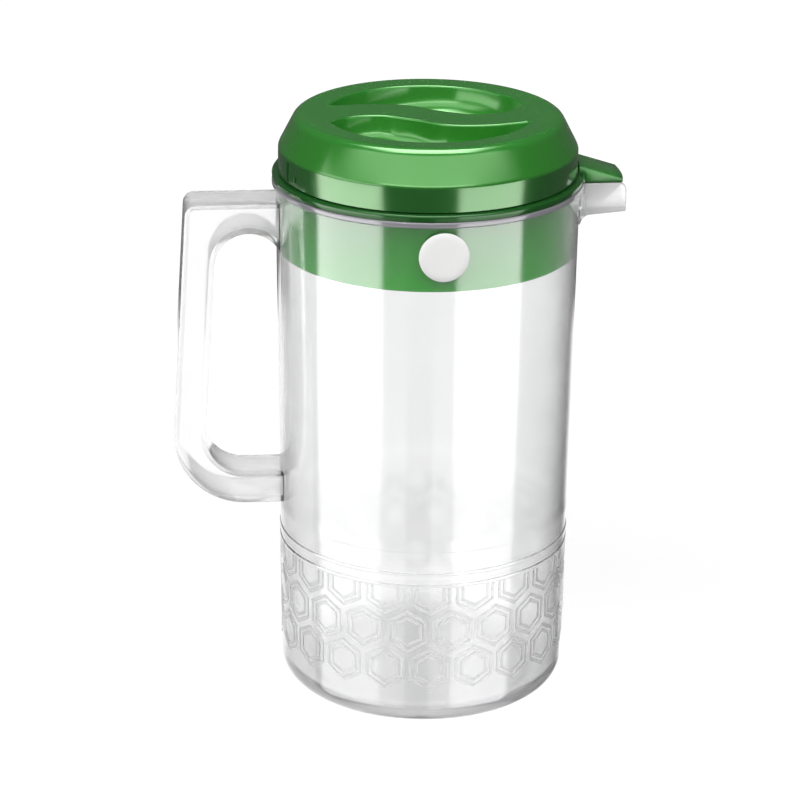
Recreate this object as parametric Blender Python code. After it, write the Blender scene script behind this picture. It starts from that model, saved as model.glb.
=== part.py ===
"""Lidded water pitcher: a clear moulded jug with a spout and a D-shaped handle,
a green lid ring with a spout cover, a turning cap with an S-shaped grip, and a round label.

Metres, +Z up. The jug stands on z = 0, the spout points along +X and the handle along -X.
The origin is the middle of the footprint box, so the jug's own axis stands a little towards +X."""

import math

import bmesh
import bpy
from mathutils import Matrix, Vector

# Jug: heights above the table, radii from the jug's axis
RIM_HEIGHT = 0.2218
RIM_RADIUS = 0.0640
RIM_BEAD_HEIGHT = 0.0024
RIM_BEAD_RELIEF = 0.0015
RIM_ROUNDING = 0.0006
BODY_TAPER = 0.0024
BASE_CORNER_RADIUS = 0.0104
WALL = 0.0020
FLOOR_THICKNESS = 0.0028
FOOT_RING_WIDTH = 0.0032
FOOT_RING_HEIGHT = 0.0012

# Decor on the lower wall: a raised ledge and two thin bands above the honeycomb zone
DECOR_TOP_HEIGHT = 0.0798
BAND_RELIEF = 0.00035
BAND_WIDTH = 0.0019
FIRST_BAND_DROP = 0.0088
SECOND_BAND_DROP = 0.0140

# Handle
HANDLE_SPAN = 0.0418
HANDLE_TOP_DROP = 0.0076
HANDLE_BOTTOM_HEIGHT = 0.0836
HANDLE_DEPTH = 0.0210
HANDLE_BAND = 0.0131
HANDLE_LEAN = math.radians(3.3)
HANDLE_TOP_CORNER_RADIUS = 0.0045
HANDLE_LOW_CORNER_RADIUS = 0.0300
HANDLE_WALL = 0.0022
HANDLE_EDGE_FILLET = 0.0012
ARCH_RADIUS = 0.0141
ARCH_DROP = 0.0124

# Spout
SPOUT_LENGTH = 0.0170
SPOUT_DROP = 0.0015
SPOUT_WIDTH = 0.0200
SPOUT_TIP_DEPTH = 0.0121
SPOUT_ROOT_DEPTH = 0.0134
SPOUT_WALL = 0.0018
SPOUT_NOSE_RADIUS = 0.0030
SPOUT_ROOT_FILLET = 0.0042

# Lid ring
FLANGE_THICKNESS = 0.0026
FLANGE_ROUNDING = 0.0009
SKIRT_HEIGHT = 0.0300
SKIRT_WALL = 0.0018
SKIRT_CLEARANCE = 0.00035
WINDOW_HEIGHT = 0.0105
COVER_SETBACK = 0.0007
COVER_ROOT_HEIGHT = 0.0072
COVER_TIP_HEIGHT = 0.0015
COVER_NOSE_BULGE = 0.0010
COVER_WALL = 0.0016
COVER_GAP = 0.0006

# Turning cap
CAP_SETBACK = 0.0025
CAP_EDGE_DRAFT = 0.0001
CAP_BREAK_HEIGHT = 0.0106
CAP_CONE_RUN = 0.0101
CAP_FACE_ROUNDING = 0.0050
CAP_HEIGHT = 0.0243
CAP_DISH = 0.0012
CAP_WALL = 0.0018
SLEEVE_WALL = 0.0016
SLEEVE_CLEARANCE = 0.0004
SLEEVE_SHORTFALL = 0.0010
SNAP_BEAD_DROP = 0.0240
SNAP_BEAD_HEIGHT = 0.0018
SNAP_BEAD_RELIEF = 0.0005
STRAINER_SLOT_WIDTH = 0.0016
STRAINER_SLOT_COUNT = 5
INDEX_ANGLE = math.radians(196.6)
INDEX_WIDTH = 0.0013
INDEX_RELIEF = 0.0005
INDEX_PIP_TURN = math.radians(6.8)
TURN_LIMIT = math.radians(90)
STOP_ANGLE = math.radians(6)
STOP_HEIGHT = 0.0030
STOP_SLACK = math.radians(2.2)

# S-shaped grip: two recesses inside one circle leave the bar between them
GRIP_MARGIN = 0.0090
GRIP_DEPTH = 0.0125
GRIP_FILLET = 0.0009
GRIP_EDGE_SHARES = [(-0.925, 0.345), (-0.780, 0.375), (-0.620, 0.405), (-0.460, 0.411), (-0.280, 0.394),
                    (-0.100, 0.335), (0.100, 0.176), (0.280, 0.070), (0.400, 0.013), (0.520, -0.005),
                    (0.700, 0.026), (0.840, 0.097), (0.955, 0.250)]
GRIP_DEPTH_SHARES = [0.35, 0.66, 0.87, 0.97, 1.0]
GRIP_DRAW_SHARES = [0.04, 0.12, 0.28, 0.48, 0.72]

# Label
LABEL_RADIUS = 0.0101
LABEL_THICKNESS = 0.00025
LABEL_DROP = 0.0146

# Fits and cuts
SEAT_GAP = 0.0003
CUT_OVERRUN = 0.0040

MERGE_DISTANCE = 0.000004

# Facets
TURN_STEPS = 72
ARC_STEPS = 5
LABEL_STEPS = 40
GRIP_STEPS = 20
FACE_STEPS = 3
SHARP_ANGLE = math.radians(32)
FILLET_ANGLE = math.radians(60)

# Plastics
CLEAR_COLOUR = (0.90, 0.91, 0.92)
CLEAR_OPACITY = 0.35
GREEN_COLOUR = (0.055, 0.250, 0.060)
LABEL_COLOUR = (0.92, 0.92, 0.93)
CLEAR_ROUGHNESS = 0.08
GREEN_ROUGHNESS = 0.16
LABEL_ROUGHNESS = 0.35

# Radii and heights worked out from the sizes above
BODY_TOP_RADIUS = RIM_RADIUS - RIM_BEAD_RELIEF
BODY_BASE_RADIUS = BODY_TOP_RADIUS - BODY_TAPER
HANDLE_REACH = RIM_RADIUS + HANDLE_SPAN
HANDLE_TOP_HEIGHT = RIM_HEIGHT - HANDLE_TOP_DROP
ARCH_TOP_HEIGHT = HANDLE_TOP_HEIGHT - ARCH_DROP
SPOUT_REACH = RIM_RADIUS + SPOUT_LENGTH
SPOUT_TOP_HEIGHT = RIM_HEIGHT - SPOUT_DROP
COVER_REACH = SPOUT_REACH - COVER_SETBACK
CAP_RADIUS = RIM_RADIUS - CAP_SETBACK
CAP_BREAK_RADIUS = CAP_RADIUS - CAP_EDGE_DRAFT
CAP_FACE_RADIUS = CAP_BREAK_RADIUS - CAP_CONE_RUN
GRIP_CIRCLE_RADIUS = CAP_FACE_RADIUS - GRIP_MARGIN

# Places worked out from the sizes above
AXIS_X = (HANDLE_REACH - SPOUT_REACH) / 2
TAPER = BODY_TAPER / (RIM_HEIGHT - BASE_CORNER_RADIUS)
FLANGE_BOTTOM = RIM_HEIGHT + SEAT_GAP
FLANGE_TOP = FLANGE_BOTTOM + FLANGE_THICKNESS
SKIRT_BOTTOM = FLANGE_BOTTOM - SKIRT_HEIGHT
SPOUT_FLOOR_HEIGHT = SPOUT_TOP_HEIGHT - SPOUT_TIP_DEPTH + SPOUT_WALL
WINDOW_TOP = SPOUT_FLOOR_HEIGHT + WINDOW_HEIGHT
CHANNEL_HALF_WIDTH = SPOUT_WIDTH / 2 - SPOUT_WALL
CAP_BOTTOM = FLANGE_TOP + SEAT_GAP
CAP_TOP = FLANGE_TOP + CAP_HEIGHT
CAP_BREAK = FLANGE_TOP + CAP_BREAK_HEIGHT
BODY_FLOOR = FOOT_RING_HEIGHT + FLOOR_THICKNESS


def wall_radius(height):
    """Outer radius of the jug's tapered wall at a height."""
    return BODY_TOP_RADIUS - TAPER * (RIM_HEIGHT - height)


def arc(centre_x, centre_y, radius, start, end, steps=ARC_STEPS):
    """Points of an arc from one angle to another, in degrees."""
    points = []
    for step in range(steps + 1):
        angle = math.radians(start + (end - start) * step / steps)
        points.append((centre_x + radius * math.cos(angle), centre_y + radius * math.sin(angle)))
    return points


def make_material(name, colour, roughness, alpha=1.0):
    """Principled material with the plastic's colour and gloss."""
    material = bpy.data.materials.new(name)
    material.use_nodes = True
    shader = material.node_tree.nodes["Principled BSDF"]
    shader.inputs["Base Color"].default_value = (*colour, 1.0)
    shader.inputs["Roughness"].default_value = roughness
    shader.inputs["Metallic"].default_value = 0.0
    shader.inputs["Alpha"].default_value = alpha
    material.diffuse_color = (*colour, alpha)
    return material


def add_object(name, bm):
    """Close the bmesh into a mesh object with its faces pointing out."""
    bmesh.ops.recalc_face_normals(bm, faces=bm.faces)
    if bm.calc_volume(signed=True) < 0:
        bmesh.ops.reverse_faces(bm, faces=bm.faces)
    mesh = bpy.data.meshes.new(name)
    bm.to_mesh(mesh)
    bm.free()
    obj = bpy.data.objects.new(name, mesh)
    bpy.context.collection.objects.link(obj)
    return obj


def revolve(name, profile, steps=TURN_STEPS):
    """Turn a closed (radius, height) outline about the Z axis; points at radius 0 lie on the axis."""
    bm = bmesh.new()
    rings = []
    for radius, height in profile:
        if radius == 0:
            rings.append([bm.verts.new((0, 0, height))])
            continue
        ring = []
        for step in range(steps):
            angle = math.tau * step / steps
            ring.append(bm.verts.new((radius * math.cos(angle), radius * math.sin(angle), height)))
        rings.append(ring)
    for lower, upper in zip(rings, rings[1:] + rings[:1]):
        if len(lower) == 1 and len(upper) == 1:
            continue
        for step in range(steps):
            after = (step + 1) % steps
            if len(lower) == 1:
                bm.faces.new((lower[0], upper[step], upper[after]))
            elif len(upper) == 1:
                bm.faces.new((lower[step], lower[after], upper[0]))
            else:
                bm.faces.new((lower[step], lower[after], upper[after], upper[step]))
    return add_object(name, bm)


def extrude_side_outline(name, outline, half_width):
    """Extrude an (x, z) outline to both sides of y = 0."""
    bm = bmesh.new()
    near = [bm.verts.new((x, -half_width, z)) for x, z in outline]
    far = [bm.verts.new((x, half_width, z)) for x, z in outline]
    bm.faces.new(near)
    bm.faces.new(list(reversed(far)))
    for index in range(len(outline)):
        after = (index + 1) % len(outline)
        bm.faces.new((near[index], near[after], far[after], far[index]))
    return add_object(name, bm)


def extrude_plan_outline(name, outline, bottom, top):
    """Extrude an (x, y) outline between two heights."""
    bm = bmesh.new()
    low = [bm.verts.new((x, y, bottom)) for x, y in outline]
    high = [bm.verts.new((x, y, top)) for x, y in outline]
    bm.faces.new(list(reversed(low)))
    bm.faces.new(high)
    for index in range(len(outline)):
        after = (index + 1) % len(outline)
        bm.faces.new((low[index], low[after], high[after], high[index]))
    return add_object(name, bm)


def box(name, low, high):
    """Box between two corners."""
    outline = [(low[0], low[1]), (high[0], low[1]), (high[0], high[1]), (low[0], high[1])]
    return extrude_plan_outline(name, outline, low[2], high[2])


def bake(obj):
    """Replace the object's mesh by its evaluated one and drop its modifiers."""
    depsgraph = bpy.context.evaluated_depsgraph_get()
    mesh = bpy.data.meshes.new_from_object(obj.evaluated_get(depsgraph))
    obj.modifiers.clear()
    obj.data = mesh


def boolean(obj, other, operation):
    """Join or cut another closed object, then delete it."""
    modifier = obj.modifiers.new(operation.title(), "BOOLEAN")
    modifier.operation = operation
    modifier.solver = "EXACT"
    modifier.object = other
    bake(obj)
    bpy.data.objects.remove(other)


def round_edges(obj, width, angle):
    """Bevel the edges sharper than an angle."""
    modifier = obj.modifiers.new("Fillet", "BEVEL")
    modifier.width = width
    modifier.segments = 2
    modifier.limit_method = "ANGLE"
    modifier.angle_limit = angle
    bake(obj)


def finish(obj, material, parent):
    """Shade smooth up to sharp edges, then give the piece its material and its place."""
    mesh = obj.data
    bm = bmesh.new()
    bm.from_mesh(mesh)
    bmesh.ops.dissolve_degenerate(bm, dist=MERGE_DISTANCE, edges=bm.edges)
    bm.to_mesh(mesh)
    bm.free()
    mesh.materials.clear()
    mesh.materials.append(material)
    mesh.shade_smooth()
    mesh.set_sharp_from_angle(angle=SHARP_ANGLE)
    obj.parent = parent
    return obj


def add_empty(name, location, parent=None):
    """Empty that carries pieces; a joint's axis runs through it."""
    empty = bpy.data.objects.new(name, None)
    empty.location = location
    empty.parent = parent
    bpy.context.collection.objects.link(empty)
    return empty


def jug_outer_profile():
    """Outside of the jug without its handle and spout, solid to the axis."""
    foot_outer = BODY_BASE_RADIUS - BASE_CORNER_RADIUS
    foot_inner = foot_outer - FOOT_RING_WIDTH
    profile = [(0, FOOT_RING_HEIGHT), (foot_inner - FOOT_RING_HEIGHT, FOOT_RING_HEIGHT), (foot_inner, 0)]
    profile += arc(foot_outer, BASE_CORNER_RADIUS, BASE_CORNER_RADIUS, -90, 0, ARC_STEPS + 3)
    for drop in (SECOND_BAND_DROP, FIRST_BAND_DROP):
        band_top = DECOR_TOP_HEIGHT - drop
        band_bottom = band_top - BAND_WIDTH
        profile.append((wall_radius(band_bottom), band_bottom))
        profile.append((wall_radius(band_bottom) + BAND_RELIEF, band_bottom + BAND_RELIEF))
        profile.append((wall_radius(band_top) + BAND_RELIEF, band_top - BAND_RELIEF))
        profile.append((wall_radius(band_top), band_top))
    profile.append((wall_radius(DECOR_TOP_HEIGHT - BAND_RELIEF), DECOR_TOP_HEIGHT - BAND_RELIEF))
    profile.append((wall_radius(DECOR_TOP_HEIGHT) + BAND_RELIEF, DECOR_TOP_HEIGHT))
    profile.append((wall_radius(DECOR_TOP_HEIGHT + BAND_WIDTH), DECOR_TOP_HEIGHT + BAND_WIDTH))
    bead_bottom = RIM_HEIGHT - RIM_BEAD_HEIGHT
    profile.append((wall_radius(bead_bottom), bead_bottom))
    profile += arc(RIM_RADIUS - RIM_ROUNDING, bead_bottom + RIM_ROUNDING, RIM_ROUNDING, -90, 0, 2)
    profile += arc(RIM_RADIUS - RIM_ROUNDING, RIM_HEIGHT - RIM_ROUNDING, RIM_ROUNDING, 0, 90, 2)
    profile.append((0, RIM_HEIGHT))
    return profile


def jug_inner_profile():
    """Cavity of the jug, running past the rim."""
    corner = BASE_CORNER_RADIUS - WALL
    corner_radius = wall_radius(BODY_FLOOR + corner) - WALL
    profile = [(0, BODY_FLOOR)]
    profile += arc(corner_radius - corner, BODY_FLOOR + corner, corner, -90, 0)
    profile.append((wall_radius(RIM_HEIGHT) - WALL, RIM_HEIGHT))
    profile.append((wall_radius(RIM_HEIGHT) - WALL, RIM_HEIGHT + CUT_OVERRUN))
    profile.append((0, RIM_HEIGHT + CUT_OVERRUN))
    return profile


def handle_outline(inset, root_x):
    """Side outline of the handle's band: outer path down, then back along the finger opening.

    The inset moves every edge into the plastic, and root_x is where the arms end at the jug."""
    lean = math.tan(HANDLE_LEAN)
    low_radius = HANDLE_LOW_CORNER_RADIUS - inset
    low_z = HANDLE_BOTTOM_HEIGHT + HANDLE_LOW_CORNER_RADIUS
    low_x = -HANDLE_REACH + HANDLE_LOW_CORNER_RADIUS
    lean_degrees = math.degrees(HANDLE_LEAN)
    top_radius = max(HANDLE_TOP_CORNER_RADIUS - inset, inset / 2)
    top_z = HANDLE_TOP_HEIGHT - inset
    top_x = low_x - low_radius + (top_z - top_radius - low_z) * lean
    outer = [(root_x, top_z)]
    outer += arc(top_x + top_radius, top_z - top_radius, top_radius, 90, 180 - lean_degrees, 4)
    outer += arc(low_x, low_z, low_radius, 180 - lean_degrees, 270, ARC_STEPS + 4)
    outer.append((root_x, HANDLE_BOTTOM_HEIGHT + inset))
    inner_radius = HANDLE_LOW_CORNER_RADIUS - HANDLE_BAND + inset
    inner_top_radius = ARCH_RADIUS + inset
    arch_z = ARCH_TOP_HEIGHT - ARCH_RADIUS
    arch_x = low_x - inner_radius + (arch_z - low_z) * lean + inner_top_radius
    inner = [(root_x, HANDLE_BOTTOM_HEIGHT + HANDLE_BAND - inset)]
    inner += arc(low_x, low_z, inner_radius, 270, 180 - lean_degrees, ARC_STEPS + 2)
    root_side = max(min((root_x - arch_x) / inner_top_radius, 1.0), -1.0)
    inner += arc(arch_x, arch_z, inner_top_radius, 180 - lean_degrees, math.degrees(math.acos(root_side)),
                 ARC_STEPS + 5)
    return outer + inner


def make_handle():
    """Channel-section handle: closed face towards -Y, open towards +Y."""
    inside_jug = -(BODY_BASE_RADIUS - 2 * WALL)
    handle = extrude_side_outline("handle", handle_outline(0.0, inside_jug), HANDLE_DEPTH / 2)
    round_edges(handle, HANDLE_EDGE_FILLET, FILLET_ANGLE)
    pocket_root = -(wall_radius(HANDLE_TOP_HEIGHT) + HANDLE_WALL / 2)
    pocket = extrude_side_outline("handle_pocket", handle_outline(HANDLE_WALL, pocket_root), HANDLE_DEPTH / 2)
    pocket.data.transform(Matrix.Translation((0, HANDLE_WALL, 0)))
    return handle, pocket


def make_spout():
    """Solid of the spout, seen from the side, with a fillet under its root."""
    floor_tip = SPOUT_TOP_HEIGHT - SPOUT_TIP_DEPTH
    floor_root = SPOUT_TOP_HEIGHT - SPOUT_ROOT_DEPTH
    root_x = wall_radius(floor_root) + SPOUT_ROOT_FILLET
    inside_x = BODY_BASE_RADIUS - 2 * WALL
    outline = [(inside_x, SPOUT_TOP_HEIGHT)]
    outline += arc(SPOUT_REACH - SPOUT_NOSE_RADIUS, SPOUT_TOP_HEIGHT - SPOUT_NOSE_RADIUS, SPOUT_NOSE_RADIUS,
                   90, 0, 4)
    outline.append((SPOUT_REACH, floor_tip))
    outline += arc(root_x, floor_root - SPOUT_ROOT_FILLET, SPOUT_ROOT_FILLET, 90, 180, 4)
    outline.append((inside_x, floor_root - SPOUT_ROOT_FILLET))
    return extrude_side_outline("spout", outline, SPOUT_WIDTH / 2)


def make_jug(parent):
    """Clear body with its rim bead, foot ring, decor bands, spout and handle."""
    jug = revolve("jug_body", jug_outer_profile())
    handle, pocket = make_handle()
    boolean(jug, handle, "UNION")
    boolean(jug, make_spout(), "UNION")
    boolean(jug, revolve("jug_cavity", jug_inner_profile()), "DIFFERENCE")
    channel_low = (BODY_BASE_RADIUS - 3 * WALL, -CHANNEL_HALF_WIDTH, SPOUT_FLOOR_HEIGHT)
    channel_high = (SPOUT_REACH + CUT_OVERRUN, CHANNEL_HALF_WIDTH, RIM_HEIGHT + CUT_OVERRUN)
    boolean(jug, box("spout_channel", channel_low, channel_high), "DIFFERENCE")
    boolean(jug, pocket, "DIFFERENCE")
    clear = make_material("clear_plastic", CLEAR_COLOUR, CLEAR_ROUGHNESS, CLEAR_OPACITY)
    return finish(jug, clear, parent)


def make_cover():
    """Wedge over the spout: hollow below, its back curved round the turning cap."""
    half = SPOUT_WIDTH / 2
    back = CAP_RADIUS + COVER_GAP
    rise = (COVER_ROOT_HEIGHT - COVER_TIP_HEIGHT) / (COVER_REACH - back)
    bottom = FLANGE_BOTTOM - (RIM_HEIGHT - SPOUT_TOP_HEIGHT)
    inside_x = back - 2 * SKIRT_WALL

    def wedge(name, inset, low):
        top_root = bottom + COVER_ROOT_HEIGHT - inset + rise * (back - inside_x)
        top_tip = bottom + COVER_TIP_HEIGHT - inset + rise * inset
        tip_x = COVER_REACH - inset
        outline = [(inside_x, low), (tip_x, low), (tip_x, max(top_tip, low + inset)), (inside_x, top_root)]
        return extrude_side_outline(name, outline, half - inset)

    cover = wedge("cover", 0.0, bottom)
    nose_radius = (half ** 2 + COVER_NOSE_BULGE ** 2) / (2 * COVER_NOSE_BULGE)
    spread = math.degrees(math.asin(half / nose_radius))
    plan = [(inside_x - CUT_OVERRUN, -half - CUT_OVERRUN)]
    plan += [(COVER_REACH - COVER_NOSE_BULGE, -half - CUT_OVERRUN)]
    plan += arc(COVER_REACH - nose_radius, 0, nose_radius, -spread, spread, 8)
    plan += [(COVER_REACH - COVER_NOSE_BULGE, half + CUT_OVERRUN), (inside_x - CUT_OVERRUN, half + CUT_OVERRUN)]
    nose = extrude_plan_outline("cover_nose", plan, bottom - CUT_OVERRUN, FLANGE_TOP + COVER_ROOT_HEIGHT)
    boolean(cover, nose, "INTERSECT")
    back_wall = back + COVER_WALL
    hollow = wedge("cover_hollow", COVER_WALL, bottom - CUT_OVERRUN)
    keep = revolve("cover_back", [(0, bottom - 2 * CUT_OVERRUN), (back_wall, bottom - 2 * CUT_OVERRUN),
                                  (back_wall, FLANGE_TOP + 2 * COVER_ROOT_HEIGHT),
                                  (0, FLANGE_TOP + 2 * COVER_ROOT_HEIGHT)])
    boolean(hollow, keep, "DIFFERENCE")
    return cover, hollow


def ring_sector(name, inner_radius, outer_radius, start, end, bottom, top, steps=2):
    """Closed block between two radii, two angles and two heights."""
    start_degrees = math.degrees(start)
    end_degrees = math.degrees(end)
    outline = arc(0, 0, outer_radius, start_degrees, end_degrees, steps)
    outline += arc(0, 0, inner_radius, end_degrees, start_degrees, steps)
    return extrude_plan_outline(name, outline, bottom, top)


def make_ring(parent):
    """Flange on the rim, skirt inside the jug, window to the spout and the spout cover."""
    skirt_top_radius = wall_radius(FLANGE_BOTTOM) - WALL - SKIRT_CLEARANCE
    skirt_low_radius = wall_radius(SKIRT_BOTTOM) - WALL - SKIRT_CLEARANCE
    bore_top = skirt_top_radius - SKIRT_WALL
    bore_low = skirt_low_radius - SKIRT_WALL
    outside = [(skirt_low_radius, SKIRT_BOTTOM), (skirt_top_radius, FLANGE_BOTTOM)]
    outside.append((RIM_RADIUS - FLANGE_ROUNDING / 3, FLANGE_BOTTOM))
    outside.append((RIM_RADIUS, FLANGE_BOTTOM + FLANGE_ROUNDING / 3))
    outside += arc(RIM_RADIUS - FLANGE_ROUNDING, FLANGE_TOP - FLANGE_ROUNDING, FLANGE_ROUNDING, 0, 90, 3)
    groove_radius = bore_low - SLEEVE_CLEARANCE + SNAP_BEAD_RELIEF + SEAT_GAP
    groove_top = FLANGE_BOTTOM - SNAP_BEAD_DROP + SNAP_BEAD_HEIGHT + SEAT_GAP
    groove_low = FLANGE_BOTTOM - SNAP_BEAD_DROP - SEAT_GAP
    inside = [(bore_low, FLANGE_TOP), (bore_low, groove_top + SNAP_BEAD_RELIEF), (groove_radius, groove_top)]
    inside += [(groove_radius, groove_low), (bore_low, groove_low - SNAP_BEAD_RELIEF), (bore_low, SKIRT_BOTTOM)]
    ring = revolve("lid_ring", outside + inside)
    cover, hollow = make_cover()
    sunk = FLANGE_THICKNESS / 3
    dome_gap = [(0, FLANGE_TOP - sunk), (CAP_RADIUS + COVER_GAP, FLANGE_TOP - sunk),
                (CAP_RADIUS + COVER_GAP, FLANGE_TOP + 2 * COVER_ROOT_HEIGHT), (0, FLANGE_TOP + 2 * COVER_ROOT_HEIGHT)]
    rim_gap = [(0, RIM_HEIGHT - 2 * RIM_BEAD_HEIGHT), (RIM_RADIUS + SEAT_GAP, RIM_HEIGHT - 2 * RIM_BEAD_HEIGHT),
               (RIM_RADIUS + SEAT_GAP, FLANGE_BOTTOM + sunk), (0, FLANGE_BOTTOM + sunk)]
    boolean(cover, revolve("dome_gap", dome_gap), "DIFFERENCE")
    boolean(cover, revolve("rim_gap", rim_gap), "DIFFERENCE")
    boolean(cover, hollow, "DIFFERENCE")
    boolean(ring, cover, "UNION")
    window_low = (0, -CHANNEL_HALF_WIDTH, SPOUT_FLOOR_HEIGHT)
    window_high = (RIM_RADIUS, CHANNEL_HALF_WIDTH, WINDOW_TOP)
    boolean(ring, box("ring_window", window_low, window_high), "DIFFERENCE")
    stop_inner = sleeve_radius() + 2 * SLEEVE_CLEARANCE
    stop_outer = CAP_RADIUS - CAP_WALL - SLEEVE_CLEARANCE
    stop = ring_sector("stop_post", stop_inner, stop_outer, math.pi - STOP_ANGLE / 2, math.pi + STOP_ANGLE / 2,
                       FLANGE_TOP - FLANGE_THICKNESS / 2, FLANGE_TOP + STOP_HEIGHT)
    boolean(ring, stop, "UNION")
    green = make_material("ring_green_plastic", GREEN_COLOUR, GREEN_ROUGHNESS)
    return finish(ring, green, parent)


def cap_face_height(radius):
    """Height of the slightly dished top face."""
    return CAP_TOP - CAP_DISH * (1 - (radius / CAP_FACE_RADIUS) ** 2)


def sleeve_radius():
    """Outer radius of the cap's sleeve, which runs in the ring's bore."""
    return wall_radius(SKIRT_BOTTOM) - WALL - SKIRT_CLEARANCE - SKIRT_WALL - SLEEVE_CLEARANCE


def cone_angle():
    """Angle in degrees, above the horizontal, at which the rounding of the face runs into the cone."""
    run = CAP_BREAK_RADIUS - CAP_FACE_RADIUS
    fall = CAP_TOP - CAP_FACE_ROUNDING - CAP_BREAK
    return math.degrees(math.acos(CAP_FACE_ROUNDING / math.hypot(run, fall)) - math.atan2(fall, run))


def cap_shell_profile():
    """Outer skin of the cap, its hanging sleeve and its hollow inside, as one closed outline."""
    angle = cone_angle()
    outer = [(0, cap_face_height(0))]
    for step in range(1, FACE_STEPS):
        radius = CAP_FACE_RADIUS * step / FACE_STEPS
        outer.append((radius, cap_face_height(radius)))
    face = arc(CAP_FACE_RADIUS, CAP_TOP - CAP_FACE_ROUNDING, CAP_FACE_ROUNDING, 90, angle)
    outer += face
    outer += [(CAP_BREAK_RADIUS, CAP_BREAK), (CAP_RADIUS, CAP_BOTTOM)]
    sleeve = sleeve_radius()
    sleeve_bottom = SKIRT_BOTTOM + SLEEVE_SHORTFALL
    cone_slope = (face[-1][1] - CAP_BREAK) / (CAP_BREAK_RADIUS - face[-1][0])
    drop = CAP_WALL * math.hypot(1, cone_slope)
    slot_outer = CAP_RADIUS - CAP_WALL

    def under_cone(radius):
        return CAP_BREAK + (CAP_BREAK_RADIUS - radius) * cone_slope - drop

    inner = [(slot_outer, CAP_BOTTOM), (slot_outer, under_cone(slot_outer)), (sleeve, under_cone(sleeve))]
    bead_top = FLANGE_BOTTOM - SNAP_BEAD_DROP + SNAP_BEAD_HEIGHT
    bead_low = FLANGE_BOTTOM - SNAP_BEAD_DROP
    inner += [(sleeve, bead_top + SNAP_BEAD_RELIEF / 2), (sleeve + SNAP_BEAD_RELIEF, bead_top - SNAP_BEAD_RELIEF / 2)]
    inner += [(sleeve + SNAP_BEAD_RELIEF, bead_low + SNAP_BEAD_RELIEF / 2), (sleeve, bead_low - SNAP_BEAD_RELIEF / 2)]
    inner += [(sleeve, sleeve_bottom), (sleeve - SLEEVE_WALL, sleeve_bottom)]
    inner.append((sleeve - SLEEVE_WALL, under_cone(sleeve - SLEEVE_WALL)))
    inner += arc(CAP_FACE_RADIUS, CAP_TOP - CAP_FACE_ROUNDING, CAP_FACE_ROUNDING - CAP_WALL, angle, 90, 3)
    inner.append((0, cap_face_height(0) - CAP_WALL))
    return outer, inner


def grip_levels(grow):
    """Depth below the face, share drawn in and outward flare of each level of a recess, top to floor."""
    if grow:
        levels = [(-CUT_OVERRUN, 0.0, 0.0)]
    else:
        levels = [(-CUT_OVERRUN, 0.0, GRIP_FILLET)]
        for inward, down in arc(0, 0, GRIP_FILLET, 90, 0, 2):
            levels.append((GRIP_FILLET - down, 0.0, GRIP_FILLET - inward))
    for depth_share, draw_share in zip(GRIP_DEPTH_SHARES, GRIP_DRAW_SHARES):
        levels.append(((GRIP_DEPTH + grow) * depth_share, draw_share, 0.0))
    return levels


def grip_sections(grow, side):
    """Outlines of one finger recess at each level, as a line along the bar and one along the circle.

    grow widens the recess into its surrounding wall; side is +1 or -1 for the two recesses."""
    edge = smooth_path([(x * GRIP_CIRCLE_RADIUS, y * GRIP_CIRCLE_RADIUS) for x, y in GRIP_EDGE_SHARES], GRIP_STEPS)
    start = math.atan2(edge[0][1], edge[0][0])
    end = math.atan2(edge[-1][1], edge[-1][0])
    middle_x = (edge[0][0] + edge[-1][0]) / 2
    lengthen = grow / GRIP_CIRCLE_RADIUS
    sections = []
    for depth, draw_share, flare in grip_levels(grow):
        lines = ([], [])
        for index, point in enumerate(edge):
            angle = start + (end - start) * index / GRIP_STEPS
            near = Vector(point)
            far = Vector((math.cos(angle), math.sin(angle))) * GRIP_CIRCLE_RADIUS
            middle = near.lerp(far, 0.5)
            push = (far - near).normalized() * (grow + flare)
            shorten = 1 - draw_share / 2 + lengthen
            for line, corner, offset in ((lines[0], near, -push), (lines[1], far, push)):
                place = middle + (corner - middle) * (1 - draw_share) + offset
                x = middle_x + (place.x - middle_x) * shorten
                height = cap_face_height(math.hypot(x, place.y)) - depth
                line.append(Vector((side * x, side * place.y, height)))
        sections.append(lines)
    return sections


def smooth_path(points, steps):
    """Even steps along a Catmull-Rom curve through the points."""
    padded = [points[0]] + list(points) + [points[-1]]
    spans = len(points) - 1
    path = []
    for step in range(steps + 1):
        place = spans * step / steps
        span = min(int(place), spans - 1)
        t = place - span
        p0, p1, p2, p3 = (Vector(padded[span + k]) for k in range(4))
        curve = p1 * 2 + (p2 - p0) * t + (p0 * 2 - p1 * 5 + p2 * 4 - p3) * t ** 2 + (p1 * 3 - p0 - p2 * 3 + p3) * t ** 3
        path.append(tuple(curve / 2))
    return path


def make_recess(name, grow, side):
    """Closed bowl between the S-shaped edge and the circle."""
    bm = bmesh.new()
    rings = []
    for near, far in grip_sections(grow, side):
        near_verts = [bm.verts.new(p) for p in near]
        far_verts = [bm.verts.new(p) for p in far]
        rings.append((near_verts, far_verts))
    for (near_up, far_up), (near_down, far_down) in zip(rings, rings[1:]):
        for upper, lower in ((near_up, near_down), (far_up, far_down)):
            for index in range(GRIP_STEPS):
                bm.faces.new((upper[index], upper[index + 1], lower[index + 1], lower[index]))
        for index in (0, GRIP_STEPS):
            bm.faces.new((near_up[index], far_up[index], far_down[index], near_down[index]))
    for near, far in (rings[0], rings[-1]):
        for index in range(GRIP_STEPS):
            bm.faces.new((near[index], near[index + 1], far[index + 1], far[index]))
    return add_object(name, bm)


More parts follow.
